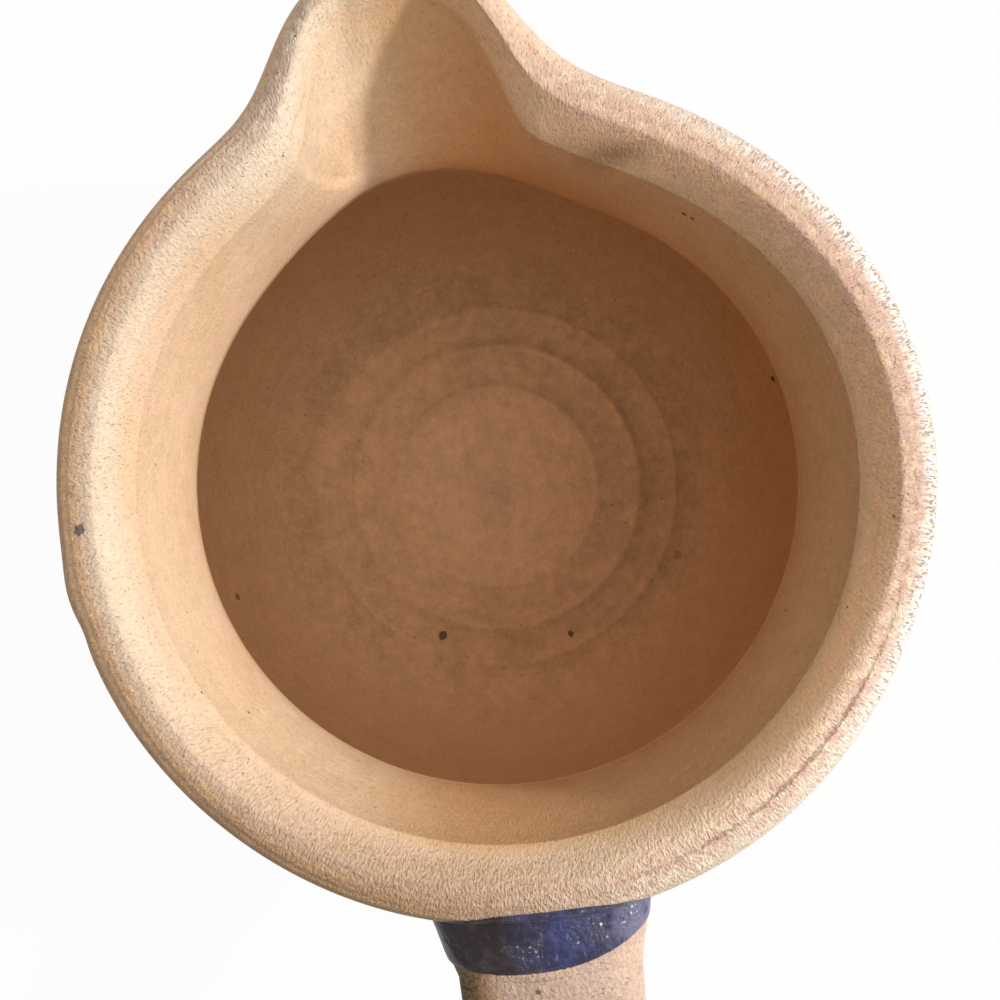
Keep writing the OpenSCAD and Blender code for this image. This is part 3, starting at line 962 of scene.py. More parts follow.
@dataclass
class ThrownBody:
    """The jug's wall with the marks of throwing, pulling and turning."""

    shape: WallShape = field(default_factory=WallShape)
    sides: int = 344
    crowding: float = 0.45
    wobble: float = 0.16
    grooves: tuple[LipGroove, ...] = (
        LipGroove(0.84, 0.030, 0.05, near=0.4, far=1.0),
        LipGroove(0.70, 0.035, 0.07, near=0.4, far=1.0),
        LipGroove(0.58, 0.035, 0.09, near=1.0, far=0.5),
        LipGroove(0.47, 0.030, -0.08, near=1.0, far=0.2),
        LipGroove(0.38, 0.045, 0.08, near=1.0, far=0.4),
        LipGroove(0.22, 0.045, 0.06, near=1.0, far=0.6),
    )
    scoop: ThumbScoop = field(default_factory=ThumbScoop)
    ring_heights: tuple[float, ...] = (0.20, 0.25, 0.30)
    ring_outside: float = 0.7
    ring_inside: float = 2.4
    floor_rise: float = 0.18
    belly_ring_pitch: float = 4.2
    belly_ring_depth: float = 0.10
    belly_ring_wander: float = 2.5
    counts: dict[Zone, int] = field(
        default_factory=lambda: {
            Zone.UNDERSIDE: 12,
            Zone.FOOT: 9,
            Zone.LOWER_BELLY: 22,
            Zone.UPPER_BELLY: 30,
            Zone.NECK: 14,
            Zone.ROLL_SIDE: 12,
            Zone.LIP: 34,
            Zone.BEVEL: 26,
            Zone.THROAT: 34,
            Zone.SHOULDER_INSIDE: 22,
            Zone.BOWL: 20,
            Zone.FLOOR: 48,
        }
    )

    def build(self, finish: ClayFinish) -> bpy.types.Object:
        """Makes the body and dresses it.

        Args:
            finish: The clay's finish.

        Returns:
            The finished piece, which stands for the solid body.
        """
        turn = np.linspace(-180.0, 180.0, self.sides, endpoint=False)
        angle = turn - self.crowding * np.degrees(np.sin(np.radians(turn)))
        section, zones = self.shape.sections(angle, self.counts)
        arc = self.arc_length(section)
        points = self.surface(section, angle)
        points += self.normals(points) * self.relief(points, section, angle, zones, arc)[..., None]
        mesh = self.mesh(points)
        self.carry_masks(mesh, section, angle, zones, arc)
        piece = new_piece("thrown_body", mesh)
        self.throwing_marks().apply(piece, finish.material())
        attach(piece, ROOT_BODY)
        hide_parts("body")
        return piece

    def surface(self, section: Array, angle: Array) -> Array:
        """Returns the section's points in space, as [direction, point, (x, y, z)] in millimetres."""
        heading = self.shape.heading(angle)[:, None]
        radius = section[..., 0]
        return np.stack([radius * np.cos(heading), radius * np.sin(heading), section[..., 1]], axis=-1)

    @staticmethod
    def normals(points: Array) -> Array:
        """Returns outward normals of the surface's points."""
        around = np.roll(points, 1, axis=0) - np.roll(points, -1, axis=0)
        along = np.gradient(points, axis=1)
        normal = np.cross(around, along)
        return normal / np.maximum(np.linalg.norm(normal, axis=-1, keepdims=True), 1e-9)

    @staticmethod
    def arc_length(section: Array) -> Array:
        """Returns how far each point lies along the plain section opposite the spout, in millimetres."""
        steps = np.linalg.norm(np.diff(section[0], axis=0), axis=-1)
        return np.concatenate([[0.0], np.cumsum(steps)])

    def relief(self, points: Array, section: Array, angle: Array, zones: dict[Zone, slice], arc: Array) -> Array:
        """Works out how far each point stands proud of the plain surface, in millimetres.

        Args:
            points: The plain surface's points in space.
            section: The wall's section in all directions.
            angle: Angles from the spout in degrees.
            zones: Where each zone lies in the section.
            arc: Distance of each point along the section.

        Returns:
            The offsets along the normal, as [direction, point].
        """
        lip_share = bell(arc - arc[zones[Zone.LIP].start], 6.0)[None, :]
        offset = self.rim_wobble(angle)[:, None] * lip_share
        offset += self.lip_grooves(angle, zones, offset.shape)
        offset += self.floor_rings(section, angle, zones)
        inside = slice(zones[Zone.BEVEL].start, zones[Zone.THROAT].stop)
        offset[:, inside] -= self.scoop.depth_at(points[:, inside, :2])
        return offset

    def rim_wobble(self, angle: Array) -> Array:
        """Returns how far the lip strays from its line, with the knock on its left side."""
        a = np.radians(angle)
        waves = 0.5 * np.sin(2 * a + 0.6) + 0.35 * np.sin(3 * a - 1.0) + 0.25 * np.sin(7 * a + 2.0)
        knock_angle = -92.0
        knock = 0.28 * bell(angle - knock_angle, 4.0) - 0.16 * bell(angle - knock_angle + 5.5, 2.2)
        return self.wobble * waves * (1.0 - self.shape.spout_share(angle)) + knock

    def lip_grooves(self, angle: Array, zones: dict[Zone, slice], shape: tuple[int, int]) -> Array:
        """Returns the fine grooves that the chamois left round the lip, deeper on the side away from the knock."""
        offset = np.zeros(shape)
        lip = zones[Zone.LIP]
        place = np.linspace(0.0, 1.0, lip.stop - lip.start, endpoint=False)[None, :]
        sway = 0.03 * np.sin(np.radians(angle) * 3.0)[:, None]
        far_side = (0.5 + 0.5 * np.sin(np.radians(angle)))[:, None]
        for groove in self.grooves:
            share = mix(groove.near, groove.far, far_side)
            offset[:, lip] -= groove.depth * share * bell(place - groove.place - sway, groove.width)
        return offset * (1.0 - self.shape.spout_share(angle))[:, None]

    def floor_rings(self, section: Array, angle: Array, zones: dict[Zone, slice]) -> Array:
        """Returns the ridges that the fingers left on the floor, each steep outside, with a rise in the middle."""
        offset = np.zeros(section.shape[:2])
        floor = slice(zones[Zone.BOWL].start, zones[Zone.FLOOR].stop)
        radius = section[:, floor, 0]
        drift = 0.5 * np.sin(np.radians(angle[:, None]) / 2.0) ** 2
        for ring, height in zip(FLOOR_RINGS, self.ring_heights):
            away = radius - ring - drift
            offset[:, floor] += height * np.where(away > 0.0, bell(away, self.ring_outside), bell(away, self.ring_inside))
        offset[:, floor] += self.floor_rise * bell(radius, 9.0, 4.0)
        return offset

    def mesh(self, points: Array) -> bpy.types.Mesh:
        """Makes a closed mesh of the surface's points, in metres, with a pole at each end."""
        sides, count, _ = points.shape
        rings = points.transpose(1, 0, 2).reshape(-1, 3)
        poles = np.stack([points[:, 0].mean(axis=0), points[:, -1].mean(axis=0)])
        ring, side = np.meshgrid(np.arange(count - 1), np.arange(sides), indexing="ij")
        beside = (side + 1) % sides
        low, high = ring * sides, (ring + 1) * sides
        quads = np.stack([low + side, high + side, high + beside, low + beside], axis=-1).reshape(-1, 4)
        faces = quads.tolist()
        last = (count - 1) * sides
        for k in range(sides):
            neighbour = (k + 1) % sides
            faces.append([count * sides, k, neighbour])
            faces.append([count * sides + 1, last + neighbour, last + k])
        mesh = bpy.data.meshes.new("thrown_body")
        mesh.from_pydata((np.vstack([rings, poles]) * MM).tolist(), [], faces)
        face_outwards(mesh)
        return mesh

    def carry_masks(
        self, mesh: bpy.types.Mesh, section: Array, angle: Array, zones: dict[Zone, slice], arc: Array
    ) -> None:
        """Stores on the mesh what the finish and the throwing marks read.

        Args:
            mesh: The body's mesh.
            section: The wall's section in all directions.
            angle: Angles from the spout in degrees.
            zones: Where each zone lies in the section.
            arc: Distance of each point along the section.
        """
        plain = np.zeros(section.shape[:2])
        crest = arc[zones[Zone.BEVEL].start]
        peel = plain + mix(0.3, 1.0, bell(arc - crest + 2.0, 8.0))[None, :]
        outside = slice(zones[Zone.LOWER_BELLY].start, zones[Zone.ROLL_SIDE].stop)
        peel[:, outside] = np.maximum(peel[:, outside], 0.7)
        from_crest = plain + (arc - crest)[None, :] * MM
        out = -from_crest / MM
        around = np.radians(angle)[:, None]
        right = 0.5 + 0.5 * np.sin(around)
        ahead = 0.5 + 0.5 * np.cos(around)
        far_side = bell(angle - 92.0, 52.0, 4.0)[:, None]
        near_handle = bell((angle + 360.0) % 360.0 - 185.0, 48.0, 4.0)[:, None]
        low_left = bell((angle + 360.0) % 360.0 - 222.0, 30.0, 2.0)[:, None]
        blush = 0.45 * bell(out - 2.5, 3.0) + 0.8 * right * bell(out - 1.0, 1.5, 4.0)
        blush += 0.45 * bell(angle - 62.0, 50.0, 4.0)[:, None] * bell(out + 2.6, 2.6, 4.0)
        # Painted highlight: where the silvery sheen lies, on the far side's outer lip.
        painted_sheen = far_side * bell(out - 3.4, 1.25)
        left_side = bell(angle + 92.0, 62.0, 4.0)[:, None]
        # Painted light: warm amber on the left outside, from the lip down the roll, which lies in shade.
        shade_amber = (smooth_step(6.0, -10.0, angle) * smooth_step(-172.0, -150.0, angle))[:, None] * smooth_step(0.7, 1.9, out)
        shade_amber = shade_amber * smooth_step(16.0, 8.0, out)
        low_right = bell((angle + 360.0) % 360.0 - 150.0, 34.0, 4.0)[:, None]
        # Painted light: cream on the far side's outer lip, the upper-left bevel, the lower-right lip and the spout's
        # left wall, where they face the light.
        cream = 0.6 * bell(angle - 84.0, 80.0, 4.0)[:, None] * bell(out - 3.4, 1.4, 4.0)
        cream = np.maximum(cream, 0.6 * bell(angle + 70.0, 48.0, 4.0)[:, None] * bell(out + 0.8, 1.9, 4.0))
        spout_left = (smooth_step(-42.0, -24.0, angle) * smooth_step(2.0, -8.0, angle))[:, None]
        cream = np.maximum(cream, low_right * mix(0.45, 1.0, smooth_step(0.0, 2.5, out)) * bell(out - 1.6, 3.6, 4.0))
        # Painted light on the spout's left wall, which faces the light.
        pressed = 0.3 * smooth_step(-11.5, -8.0, out) + 0.6 * smooth_step(-5.0, -1.0, out)
        cream = np.maximum(cream, spout_left * pressed * smooth_step(5.0, 1.0, out))
        bevel = np.linspace(0.0, 1.0, self.counts[Zone.BEVEL])[None, :]
        # Partly painted shade: the inside colour covers the throat fully where it lies in shade, a quarter where it
        # faces the light, and less of the floor's middle.
        shaded = smooth_step(-12.0, 4.0, angle) + smooth_step(-140.0, -165.0, angle)
        inside = plain.copy()
        inside[:, zones[Zone.BEVEL].stop :] = 1.0
        throat = slice(zones[Zone.THROAT].start, zones[Zone.THROAT].stop)
        inside[:, throat] = mix(0.25, 1.0, np.clip(shaded, 0.0, 1.0))[:, None]
        inside[:, zones[Zone.FLOOR]] = 1.0 - 0.3 * bell(section[:, zones[Zone.FLOOR], 0], 11.0)
        # Painted shade: deep brown over the throat where it lies in shade, deepest low in the throat beside the spout
        # and stronger near the handle, fading into the shoulder.
        umber_shade = plain.copy()
        deep = np.linspace(0.0, 1.0, self.counts[Zone.THROAT])[None, :]
        umber_shade[:, throat] = shaded[:, None] * (0.32 + 0.16 * near_handle + deep * (0.12 + 0.7 * bell(angle - 18.0, 22.0, 4.0)[:, None]))
        shoulder = zones[Zone.SHOULDER_INSIDE]
        umber_shade[:, shoulder] = umber_shade[:, throat.stop - 1][:, None] * smooth_step(8.0, 0.0, np.arange(self.counts[Zone.SHOULDER_INSIDE]))
        inside[:, zones[Zone.BEVEL]] = inside[:, throat.start][:, None] * smooth_step(0.6, 1.0, bevel)
        # Painted light: golden over the upper bevel where it lies in shade, to the right of the spout and on the far
        # side.
        shade_honey = plain.copy()
        golden = np.maximum(bell(angle - 112.0, 45.0, 4.0), 0.6 * bell(angle - 38.0, 42.0, 4.0))
        shade_honey[:, zones[Zone.BEVEL]] = golden[:, None] * smooth_step(1.0, 0.6, bevel)
        low, high = zones[Zone.LOWER_BELLY].start, zones[Zone.UPPER_BELLY].stop
        steps = np.arange(section.shape[1])
        marks = plain + (smooth_step(low, low + 6, steps) * smooth_step(high, high - 6, steps))[None, :]
        # Painted shade and light, with some staining: the mask below darkens the clay where shade falls, and lightens
        # it where negative.
        stain_and_shade = plain.copy()
        floor, bowl = zones[Zone.FLOOR], zones[Zone.BOWL]
        radius = section[..., 0]
        # Painted shade: a dark band just outside each floor ring, stronger on the right.
        for ring, depth in zip(FLOOR_RINGS, (0.18, 0.25, 0.22)):
            away = radius[:, floor] - ring
            stain_and_shade[:, floor] += depth * mix(0.35, 1.0, right) * smooth_step(-0.2, 0.3, away) * np.exp(-away.clip(0.0) / 2.4)
        # Painted light: the floor is lighter in its middle.
        stain_and_shade[:, floor] -= 0.20 * bell(radius[:, floor], 12.4, 4.0) + 0.06
        # Painted shade: the inner wall is darker towards the spout and lighter towards the handle, and the throat
        # darker on its right and near the handle.
        stain_and_shade[:, bowl] += 0.06 * ahead * smooth_step(27.0, 23.5, radius[:, bowl])
        below_neck = slice(zones[Zone.SHOULDER_INSIDE].start, zones[Zone.FLOOR].stop)
        stain_and_shade[:, below_neck] += 0.30 * (ahead - 0.40) * smooth_step(20.0, 27.0, radius[:, below_neck])
        stain_and_shade[:, throat] += 0.06 * right * smooth_step(-20.0, 20.0, np.abs(angle))[:, None] + 0.10 * near_handle
        # Painted shade on the lip near the handle, on the lower-left outer lip and on the left outer roll; painted
        # light on the lower-right lip.
        lip_share = bell(out - 1.5, 5.0, 4.0) * smooth_step(-6.0, -3.0, out)
        stain_and_shade += 0.22 * near_handle * (1.0 - 0.8 * low_right) * lip_share + 0.14 * low_left * bell(out - 4.0, 2.4, 4.0)
        stain_and_shade += 0.22 * left_side * smooth_step(2.8, 4.4, out) * smooth_step(9.0, 6.0, out) - 0.20 * low_right * lip_share
        rugged = 0.30 + (0.45 + 0.55 * near_handle) * lip_share
        rugged[:, bowl.start :] = 0.25
        ground = plain.copy()
        ground[:, floor] = 1.0
        ground[:, bowl] = smooth_step(30.0, 25.0, radius[:, bowl])
        place = self.surface(section, angle)
        # Painted shade: a dark oval on the throat beside the spout.
        hollow = np.stack([place[..., 0] + 28.4, place[..., 1] - 13.7])
        along, across = 0.110 * hollow[0] + 0.994 * hollow[1], 0.994 * hollow[0] - 0.110 * hollow[1]
        stain_and_shade[:, : throat.stop] += 0.52 * (bell(along, 2.9) * bell(across, 1.0))[:, : throat.stop]
        past = smooth_step(38.5, 39.0, place[..., 0]) * smooth_step(10.8, 9.9, np.abs(place[..., 1]))
        paint = past * smooth_step(7.0, 6.0, out) * smooth_step(1.5, 2.2, out)
        masks = {"arc": plain + arc[None, :] * MM, "peel": peel, "blush": blush, "marks": marks, "stain_and_shade": stain_and_shade}
        masks.update({"from_crest": from_crest, "painted_sheen": painted_sheen, "far_side": plain + far_side, "ground": ground})
        masks.update({"cream": cream, "shade_amber": shade_amber, "umber_shade": umber_shade, "inside": inside, "shade_honey": shade_honey})
        masks.update({"paint": paint, "rugged": rugged, "seam": plain + bell(angle - 146.0, 27.0, 4.0)[:, None]})
        for name, values in masks.items():
            poles = [values[:, 0].mean(), values[:, -1].mean()]
            carry(mesh, name, np.concatenate([values.T.ravel(), poles]))

    def throwing_marks(self) -> ShapeTree:
        """Builds the tree that raises the shallow rings which the potter's fingers left on the belly."""
        tree = ShapeTree(
            "throwing_marks",
            {
                "Ring Pitch": self.belly_ring_pitch * MM,
                "Ring Depth": self.belly_ring_depth * MM,
                "Wander": self.belly_ring_wander * MM,
                "Seed": 3,
            },
        )
        place = tree.node("GeometryNodeInputPosition").outputs[0]
        sway = (tree.noise(place, 22.0, seed=tree.given("Seed")) - 0.5) * tree.given("Wander")
        phase = (tree.stored("arc") + sway) / tree.given("Ring Pitch") * math.tau
        height = phase.sine() * tree.given("Ring Depth") * tree.stored("marks")
        normal = tree.node("GeometryNodeInputNormal").outputs[0]
        moved = tree.node(
            "GeometryNodeSetPosition",
            inputs={"Geometry": tree.entry.outputs["Geometry"], "Offset": tree.scaled(normal, height)},
        )
        tree.finish(moved.outputs[0])
        return tree


@dataclass
class StrapHandle:
    """The pulled strap, the clay that lutes it to the wall, and the cobalt brushed over both joints."""

    shape: WallShape = field(default_factory=WallShape)
    width: float = 17.9
    thickness: float = 7.8
    waist_width: float = 16.2
    waist_thickness: float = 6.4
    reach: float = 24.0
    root_drop: float = 10.0
    landing_height: float = 35.0
    root_depth: float = 2.0
    landing_depth: float = 3.0
    root_handle: tuple[float, float] = (20.0, 3.4)
    landing_handle: tuple[float, float] = (13.0, 1.5)
    out_share: float = 0.58
    fall_share: float = 0.33
    power: float = 2.5
    lute_spread: float = 3.2
    lute_lean: float = 0.16
    upper_lute_reach: float = 5.6
    lower_lute_reach: float = 5.2
    cobalt_thickness: float = 0.22
    buried: float = 0.9
    steps: int = 200
    sides: int = 88

    def __post_init__(self) -> None:
        """Works out the strap's two middle lines, each as four [x, z] points."""
        root = np.array([self.shape.neck_radius - self.root_depth, self.shape.height - self.root_drop])
        landing = np.array([self.shape.belly_radius - self.landing_depth, self.landing_height])
        out = np.array([self.shape.belly_radius + self.reach, mix(landing[1], root[1], self.out_share)])
        fall = np.array([0.0, (root[1] - landing[1]) * self.fall_share])
        self.upper_line = [root, root + self.root_handle, out + fall, out]
        self.lower_line = [landing, landing + self.landing_handle, out - fall, out]

    def share_at(self, line: Sequence[Array], distance: float) -> float:
        """Returns how far along a middle line its distance from the jug's axis first reaches a value."""
        t = np.linspace(0.0, 0.8, 4001)
        a, b, c, d = (point[0] for point in line)
        x = (1 - t) ** 3 * a + 3 * (1 - t) ** 2 * t * b + 3 * (1 - t) * t**2 * c + t**3 * d
        return float(t[np.argmax(x >= distance)])

    def tree(self, first: float, last: float, skin: tuple[float, float], steps: int, wander: float) -> ShapeTree:
        """Builds the tree that sweeps the strap's section along its middle line.

        Args:
            first: Where the sweep starts, from 0 at the neck to 1 at the belly.
            last: Where it ends.
            skin: Thickness of what lies over the strap at the sweep's start and end, in millimetres.
            steps: Number of rings.
            wander: How far the surface strays, in millimetres.

        Returns:
            The tree.
        """
        values: dict[str, Any] = {"Steps": steps, "Sides": self.sides + 1, "First": first, "Last": last, "Seed": 5}
        for name, line in (("Upper", self.upper_line), ("Lower", self.lower_line)):
            for number, point in enumerate(line):
                values[f"{name} {number}"] = (point[0] * MM, 0.0, point[1] * MM)
        lengths = {
            "Width": self.width,
            "Thickness": self.thickness,
            "Waist Width": self.waist_width,
            "Waist Thickness": self.waist_thickness,
            "Skin Start": skin[0],
            "Skin End": skin[1],
            "Wander": wander,
        }
        values.update({name: length * MM for name, length in lengths.items()})
        values["Lean"] = self.lute_lean
        tree = ShapeTree("strap_sweep", values)
        grid = tree.node(
            "GeometryNodeMeshGrid",
            inputs={
                "Size X": 1.0,
                "Size Y": 1.0,
                "Vertices X": tree.given("Steps"),
                "Vertices Y": tree.given("Sides"),
            },
        )
        along, round_share, _ = tree.split(grid.outputs["UV Map"])
        moved = tree.node(
            "GeometryNodeSetPosition",
            inputs={"Geometry": grid.outputs["Mesh"], "Position": self.swept_place(tree, along, round_share)},
        )
        merged = tree.node("GeometryNodeMergeByDistance", inputs={"Geometry": moved.outputs[0], "Distance": 1e-6})
        tree.finish(merged.outputs[0])
        return tree

    def swept_place(self, tree: ShapeTree, along: Signal, round_share: Signal) -> bpy.types.NodeSocket:
        """Adds the nodes that place a point of the sweep.

        Args:
            tree: The tree.
            along: The point's share of the sweep's length, in which the first and last ring close the ends.
            round_share: Its share of the way round the section, from the middle of the strap's inner face.

        Returns:
            The point's place.
        """
        row = along * (tree.given("Steps") - 1.0)
        share = ((row - 1.0) / (tree.given("Steps") - 3.0)).at_least(0.0).at_most(1.0)
        open_end = row.above(0.5) * (tree.given("Steps") - 1.0 - row).above(0.5)
        path = tree.given("First") + (tree.given("Last") - tree.given("First")) * share
        lower = path.above(0.5)
        s = path * 2.0 * (1.0 - lower) + (2.0 - path * 2.0) * lower
        points = [
            tree.between(tree.given(f"Upper {i}"), tree.given(f"Lower {i}"), lower) for i in range(4)
        ]
        while len(points) > 2:
            points = [tree.between(a, b, s) for a, b in zip(points, points[1:])]
        middle = tree.between(points[0], points[1], s)
        slope_x, _, slope_z = tree.split(tree.vector("NORMALIZE", tree.vector("SUBTRACT", points[1], points[0])))
        side = 1.0 - lower * 2.0
        outward = tree.join(slope_z * side * -1.0, 0.0, slope_x * side)
        waist = (s * (math.pi / 2)).sine()
        skin = tree.given("Skin Start") + (tree.given("Skin End") - tree.given("Skin Start")) * share
        turn = (round_share - 0.25) * math.tau
        half_width = (tree.given("Width") + (tree.given("Waist Width") - tree.given("Width")) * waist) * 0.5
        half_thickness = (
            tree.given("Thickness") + (tree.given("Waist Thickness") - tree.given("Thickness")) * waist
        ) * 0.5
        rough = (tree.noise(middle, 60.0, seed=tree.given("Seed")) - 0.5) * tree.given("Wander")
        worked = (tree.noise(tree.join(share * 9.0, turn.cosine() * 1.5, turn.sine() * 1.5), 1.0, seed=2.0) - 0.5)
        swell = skin + rough + worked * tree.given("Wander")
        across = turn.cosine().rounded(2.0 / self.power) * (half_width + swell) * open_end
        out = turn.sine().rounded(2.0 / self.power) * (half_thickness + swell) * open_end
        lean = skin * tree.given("Lean") * open_end
        return tree.vector("ADD", tree.vector("ADD", middle, tree.scaled(outward, out)), tree.join(0.0, across - lean, 0.0))

    def bury(self, points: Array) -> Array:
        """Moves points that lie deeper in the wall than the buried depth out to that depth."""
        section, zones = self.shape.sections(np.array([180.0]), {zone: 24 for zone in Zone})
        outside = section[0, zones[Zone.FOOT].start : zones[Zone.LIP].stop]
        wall_radius = np.interp(points[:, 2], outside[:, 1], outside[:, 0]) - self.buried
        radius = np.hypot(points[:, 0], points[:, 1])
        push = np.maximum(wall_radius / radius, 1.0)[:, None]
        return np.column_stack([points[:, :2] * push, points[:, 2]])

    def sweep(self, name: str, tree: ShapeTree, material: bpy.types.Material, node: str) -> bpy.types.Object:
        """Makes a piece with a tree and fits its ends into the wall.

        Args:
            name: The piece's name.
            tree: The tree that sweeps it.
            material: Its material.
            node: The solid that it stands for.

        Returns:
            The finished piece.
        """
        piece = new_piece(name, bpy.data.meshes.new(name))
        tree.apply(piece, material)
        write_points(piece.data, self.bury(read_points(piece.data)))
        face_outwards(piece.data)
        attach(piece, ROOT_BODY)
        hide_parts(node)
        return piece

    def build(self, clay: ClayFinish, lute_clay: ClayFinish, band_clay: ClayFinish) -> list[bpy.types.Object]:
        """Makes the strap, both lutes and both bands of cobalt.

        Args:
            clay: Finish of the strap.
            lute_clay: Finish of the lutes.
            band_clay: Finish of the painted bands.

        Returns:
            The finished pieces.
        """
        upper_end = self.share_at(self.upper_line, self.shape.lip_radius + self.upper_lute_reach) / 2
        lower_end = 1.0 - self.share_at(self.lower_line, self.shape.belly_radius + self.lower_lute_reach) / 2
        strap_clay, joint_clay, blue = clay.material(), lute_clay.material(), band_clay.material()
        pieces = [self.sweep("strap", self.tree(0.0, 1.0, (0.0, 0.0), self.steps, 0.12), strap_clay, "handle")]
        over = self.cobalt_thickness
        for place, first, last in (("upper", 0.0, upper_end), ("lower", 1.0, lower_end)):
            lute_tree = self.tree(first, last, (self.lute_spread, -0.06), 40, 0.3)
            pieces.append(self.sweep(f"{place}_lute_clay", lute_tree, joint_clay, f"{place}_lute"))
            skin_tree = self.tree(first, last, (self.lute_spread + over, over - 0.06), 60, 0.3)
            skin = self.sweep(f"{place}_cobalt_band", skin_tree, blue, f"{place}_cobalt")
            self.brush(skin.data, place)
            pieces.append(skin)
        for piece in pieces:
            count = len(piece.data.vertices)
            carry(piece.data, "peel", np.full(count, 0.8))
            # Painted shade: the strap, lutes and bands are darkened and browned towards their left side, which faces
            # away from the light.
            across = read_points(piece.data)[:, 1]
            shade = smooth_step(-4.0, -8.0, across)
            carry(piece.data, "stain_and_shade", 0.14 * smooth_step(6.0, -2.0, across) + 0.66 * shade)
            carry(piece.data, "rugged", np.full(count, 0.8))
            carry(piece.data, "inside", shade)
        return pieces

    def brush(self, mesh: bpy.types.Mesh, place: str) -> None:
        """Sinks a band of cobalt into the clay past the brush's edge, and stores where it is painted.

        Args:
            mesh: The band's mesh.
            place: "upper" or "lower".
        """
        points = read_points(mesh)
        centre, edge = (-1.8, 45.15) if place == "upper" else (1.0, 47.2)
        reach = edge - 0.0101 * np.abs(points[:, 1] - centre) ** 2.4
        paint = smooth_step(0.45, -0.45, points[:, 0] - reach)
        normals = np.empty(len(mesh.vertices) * 3)
        mesh.vertices.foreach_get("normal", normals)
        sink = (self.cobalt_thickness + 0.12) * (1.0 - paint)
        write_points(mesh, points - normals.reshape(-1, 3) * sink[:, None])
        carry(mesh, "paint", paint)


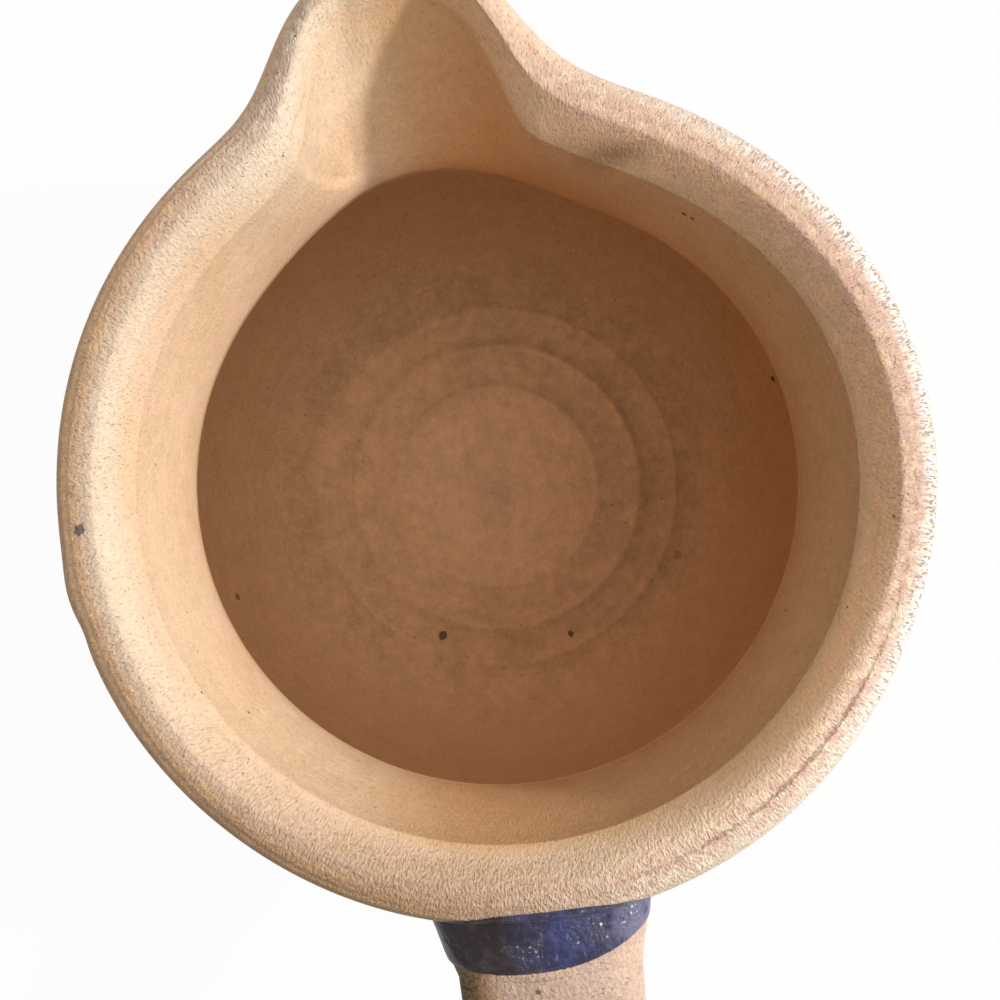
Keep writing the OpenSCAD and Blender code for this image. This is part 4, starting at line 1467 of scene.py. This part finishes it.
@dataclass
class Studio:
    """A plain pale floor, a soft light like a window's from the jug's left, and the camera straight above."""

    floor_size: float = 3.0
    key_heading: float = 92.0
    key_elevation: float = 33.0
    key_distance: float = 0.9
    key_size: tuple[float, float] = (0.07, 0.07)
    key_power: float = 6.3
    sky_heading: float = 88.0
    sky_elevation: float = 72.0
    sky_distance: float = 1.0
    sky_size: tuple[float, float] = (1.1, 1.1)
    sky_power: float = 5.3
    room_heading: float = 174.0
    room_elevation: float = 30.0
    room_distance: float = 1.0
    room_size: tuple[float, float] = (1.0, 0.8)
    room_power: float = 1.5
    fill_strength: float = 0.17
    camera_place: tuple[float, float, float] = (1.597, 0.070, 308.6)
    camera_turn: float = 83.7
    camera_lens: float = 87.24

    def build(self) -> None:
        """Makes the floor, the lamps, the world and the camera."""
        self.floor()
        for name, heading, elevation, distance, size, power in (
            ("key_window", self.key_heading, self.key_elevation, self.key_distance, self.key_size, self.key_power),
            ("sky_light", self.sky_heading, self.sky_elevation, self.sky_distance, self.sky_size, self.sky_power),
            ("room_light", self.room_heading, self.room_elevation, self.room_distance, self.room_size, self.room_power),
        ):
            self.lamp(name, heading, elevation, distance, size, power)
        self.world()
        self.camera()
        bpy.context.scene.view_settings.view_transform = "Standard"

    @staticmethod
    def background_rays(graph: Graph) -> Signal:
        """Returns 1 for rays that show a background: straight from the camera, mirrored or seen through glass."""
        path = graph.node("ShaderNodeLightPath").outputs
        seen = Signal(graph, path["Is Camera Ray"]).at_least(Signal(graph, path["Is Glossy Ray"]))
        return seen.at_least(Signal(graph, path["Is Transmission Ray"]))

    def floor(self) -> None:
        """Makes the floor, which shows near white and keeps a faint shadow."""
        half = self.floor_size / 2
        mesh = bpy.data.meshes.new("studio_floor")
        corners = [(-half, -half, 0.0), (half, -half, 0.0), (half, half, 0.0), (-half, half, 0.0)]
        mesh.from_pydata(corners, [], [(0, 1, 2, 3)])
        graph = ShaderGraph("floor_paper")
        grain = graph.noise(graph.place(), 300.0)
        paper = graph.node(
            "ShaderNodeBsdfPrincipled",
            inputs={"Base Color": graph.scaled((0.8, 0.8, 0.8), 0.98 + grain * 0.04), "Roughness": 0.9},
        )
        glow = graph.node("ShaderNodeEmission", inputs={"Color": (1.0, 1.0, 1.0), "Strength": 1.0})
        share = self.background_rays(graph) * 0.96
        shader = graph.node("ShaderNodeMixShader", inputs={0: share, 1: paper.outputs[0], 2: glow.outputs[0]})
        mesh.materials.append(graph.finish(shader.outputs[0]))
        new_piece("studio_floor", mesh)

    @staticmethod
    def lamp(
        name: str,
        heading: float,
        elevation: float,
        distance: float,
        size: tuple[float, float],
        power: float,
    ) -> None:
        """Makes a rectangular lamp that looks at the middle of the jug.

        Args:
            name: The lamp's name.
            heading: Its direction from the jug in degrees.
            elevation: Its height above the horizon in degrees.
            distance: Its distance in metres.
            size: Its sides in metres.
            power: Its power in watts.
        """
        lamp = bpy.data.lights.new(name, "AREA")
        lamp.shape = "RECTANGLE"
        lamp.size, lamp.size_y = size
        lamp.energy = power
        turn, lift = math.radians(heading), math.radians(elevation)
        way = Vector((math.cos(turn) * math.cos(lift), math.sin(turn) * math.cos(lift), math.sin(lift)))
        piece = bpy.data.objects.new(name, lamp)
        piece.location = way * distance + Vector((0.0, 0.0, 0.08))
        piece.rotation_euler = way.to_track_quat("Z", "Y").to_euler()
        bpy.context.scene.collection.objects.link(piece)

    def world(self) -> None:
        """Makes the even fill light and the white background."""
        world = bpy.data.worlds.new("studio_fill")
        world.use_nodes = True
        graph = Graph(world.node_tree)
        graph.tree.nodes.clear()
        fill = graph.node("ShaderNodeBackground", inputs={"Color": (1.0, 1.0, 1.0), "Strength": self.fill_strength})
        white = graph.node("ShaderNodeBackground", inputs={"Color": (1.0, 1.0, 1.0), "Strength": 1.0})
        share = self.background_rays(graph)
        shader = graph.node("ShaderNodeMixShader", inputs={0: share, 1: fill.outputs[0], 2: white.outputs[0]})
        graph.node("ShaderNodeOutputWorld", inputs={"Surface": shader.outputs[0]})
        bpy.context.scene.world = world

    def camera(self) -> None:
        """Makes the camera, which looks straight down into the jug."""
        lens = bpy.data.cameras.new("camera_above")
        lens.lens = self.camera_lens
        lens.sensor_width = 36.0
        lens.clip_start = 0.01
        piece = bpy.data.objects.new("camera_above", lens)
        piece.location = tuple(value * MM for value in self.camera_place)
        piece.rotation_euler = (0.0, 0.0, math.radians(self.camera_turn))
        bpy.context.scene.collection.objects.link(piece)
        bpy.context.scene.camera = piece


def main() -> None:
    """Builds the jug and the studio in order, and reports each piece."""
    logging.basicConfig(level=logging.INFO, format="%(name)s: %(message)s")
    spots = (
        Spot((17.6, -8.9, 6.1), 0.55, (0.130, 0.055, 0.025)),
        Spot((19.2, 7.0, 6.1), 0.40, (0.150, 0.065, 0.030)),
        Spot((-9.25, 34.3, 17.4), 0.42, (0.120, 0.050, 0.025)),
        Spot((-22.7, 19.8, 85.6), 0.26, (0.120, 0.050, 0.025)),
        Spot((-22.2, 20.5, 85.7), 0.24, (0.120, 0.050, 0.025)),
        Spot((9.8, -32.8, 14.9), 0.42, strength=0.7),
        Spot((0.1, -37.6, 91.7), 0.55, (0.120, 0.105, 0.115), 0.85),
        Spot((-37.5, -8.0, 83.9), 0.28),
        Spot((-41.5, -13.5, 92.7), 0.14),
        Spot((-31.4, -16.0, 90.2), 0.14),
        Spot((-39.4, 1.4, 85.7), 0.16),
        Spot((6.9, 35.0, 91.5), 0.22, strength=0.7),
        Spot((14.9, 25.8, 79.8), 0.18),
        Spot((14.7, 30.3, 89.3), 0.14),
        Spot((10.8, 21.3, 6.3), 0.50, strength=0.45),
        Spot((18.6, -25.2, 84.2), 0.16),
        Spot((16.0, -28.8, 88.4), 0.13),
    )
    clay = ClayFinish("buff_stoneware", spots=spots)
    strap = {"grain": Grain.PULLED, "pale": (0.700, 0.505, 0.390), "warm": (0.670, 0.465, 0.345)}
    strap_clay = ClayFinish("strap_stoneware", spots=(Spot((47.0, -1.4, 85.8), 0.28, (0.150, 0.090, 0.060)),), **strap)
    lute_clay = ClayFinish("lute_stoneware", **strap)
    band_clay = ClayFinish("brushed_cobalt", **strap)
    pieces = [ThrownBody().build(clay), *StrapHandle().build(strap_clay, lute_clay, band_clay)]
    for piece in pieces:
        LOG.info("%s: %d faces", piece.name, len(piece.data.polygons))
    Studio().build()


if __name__ == "__main__":
    main()
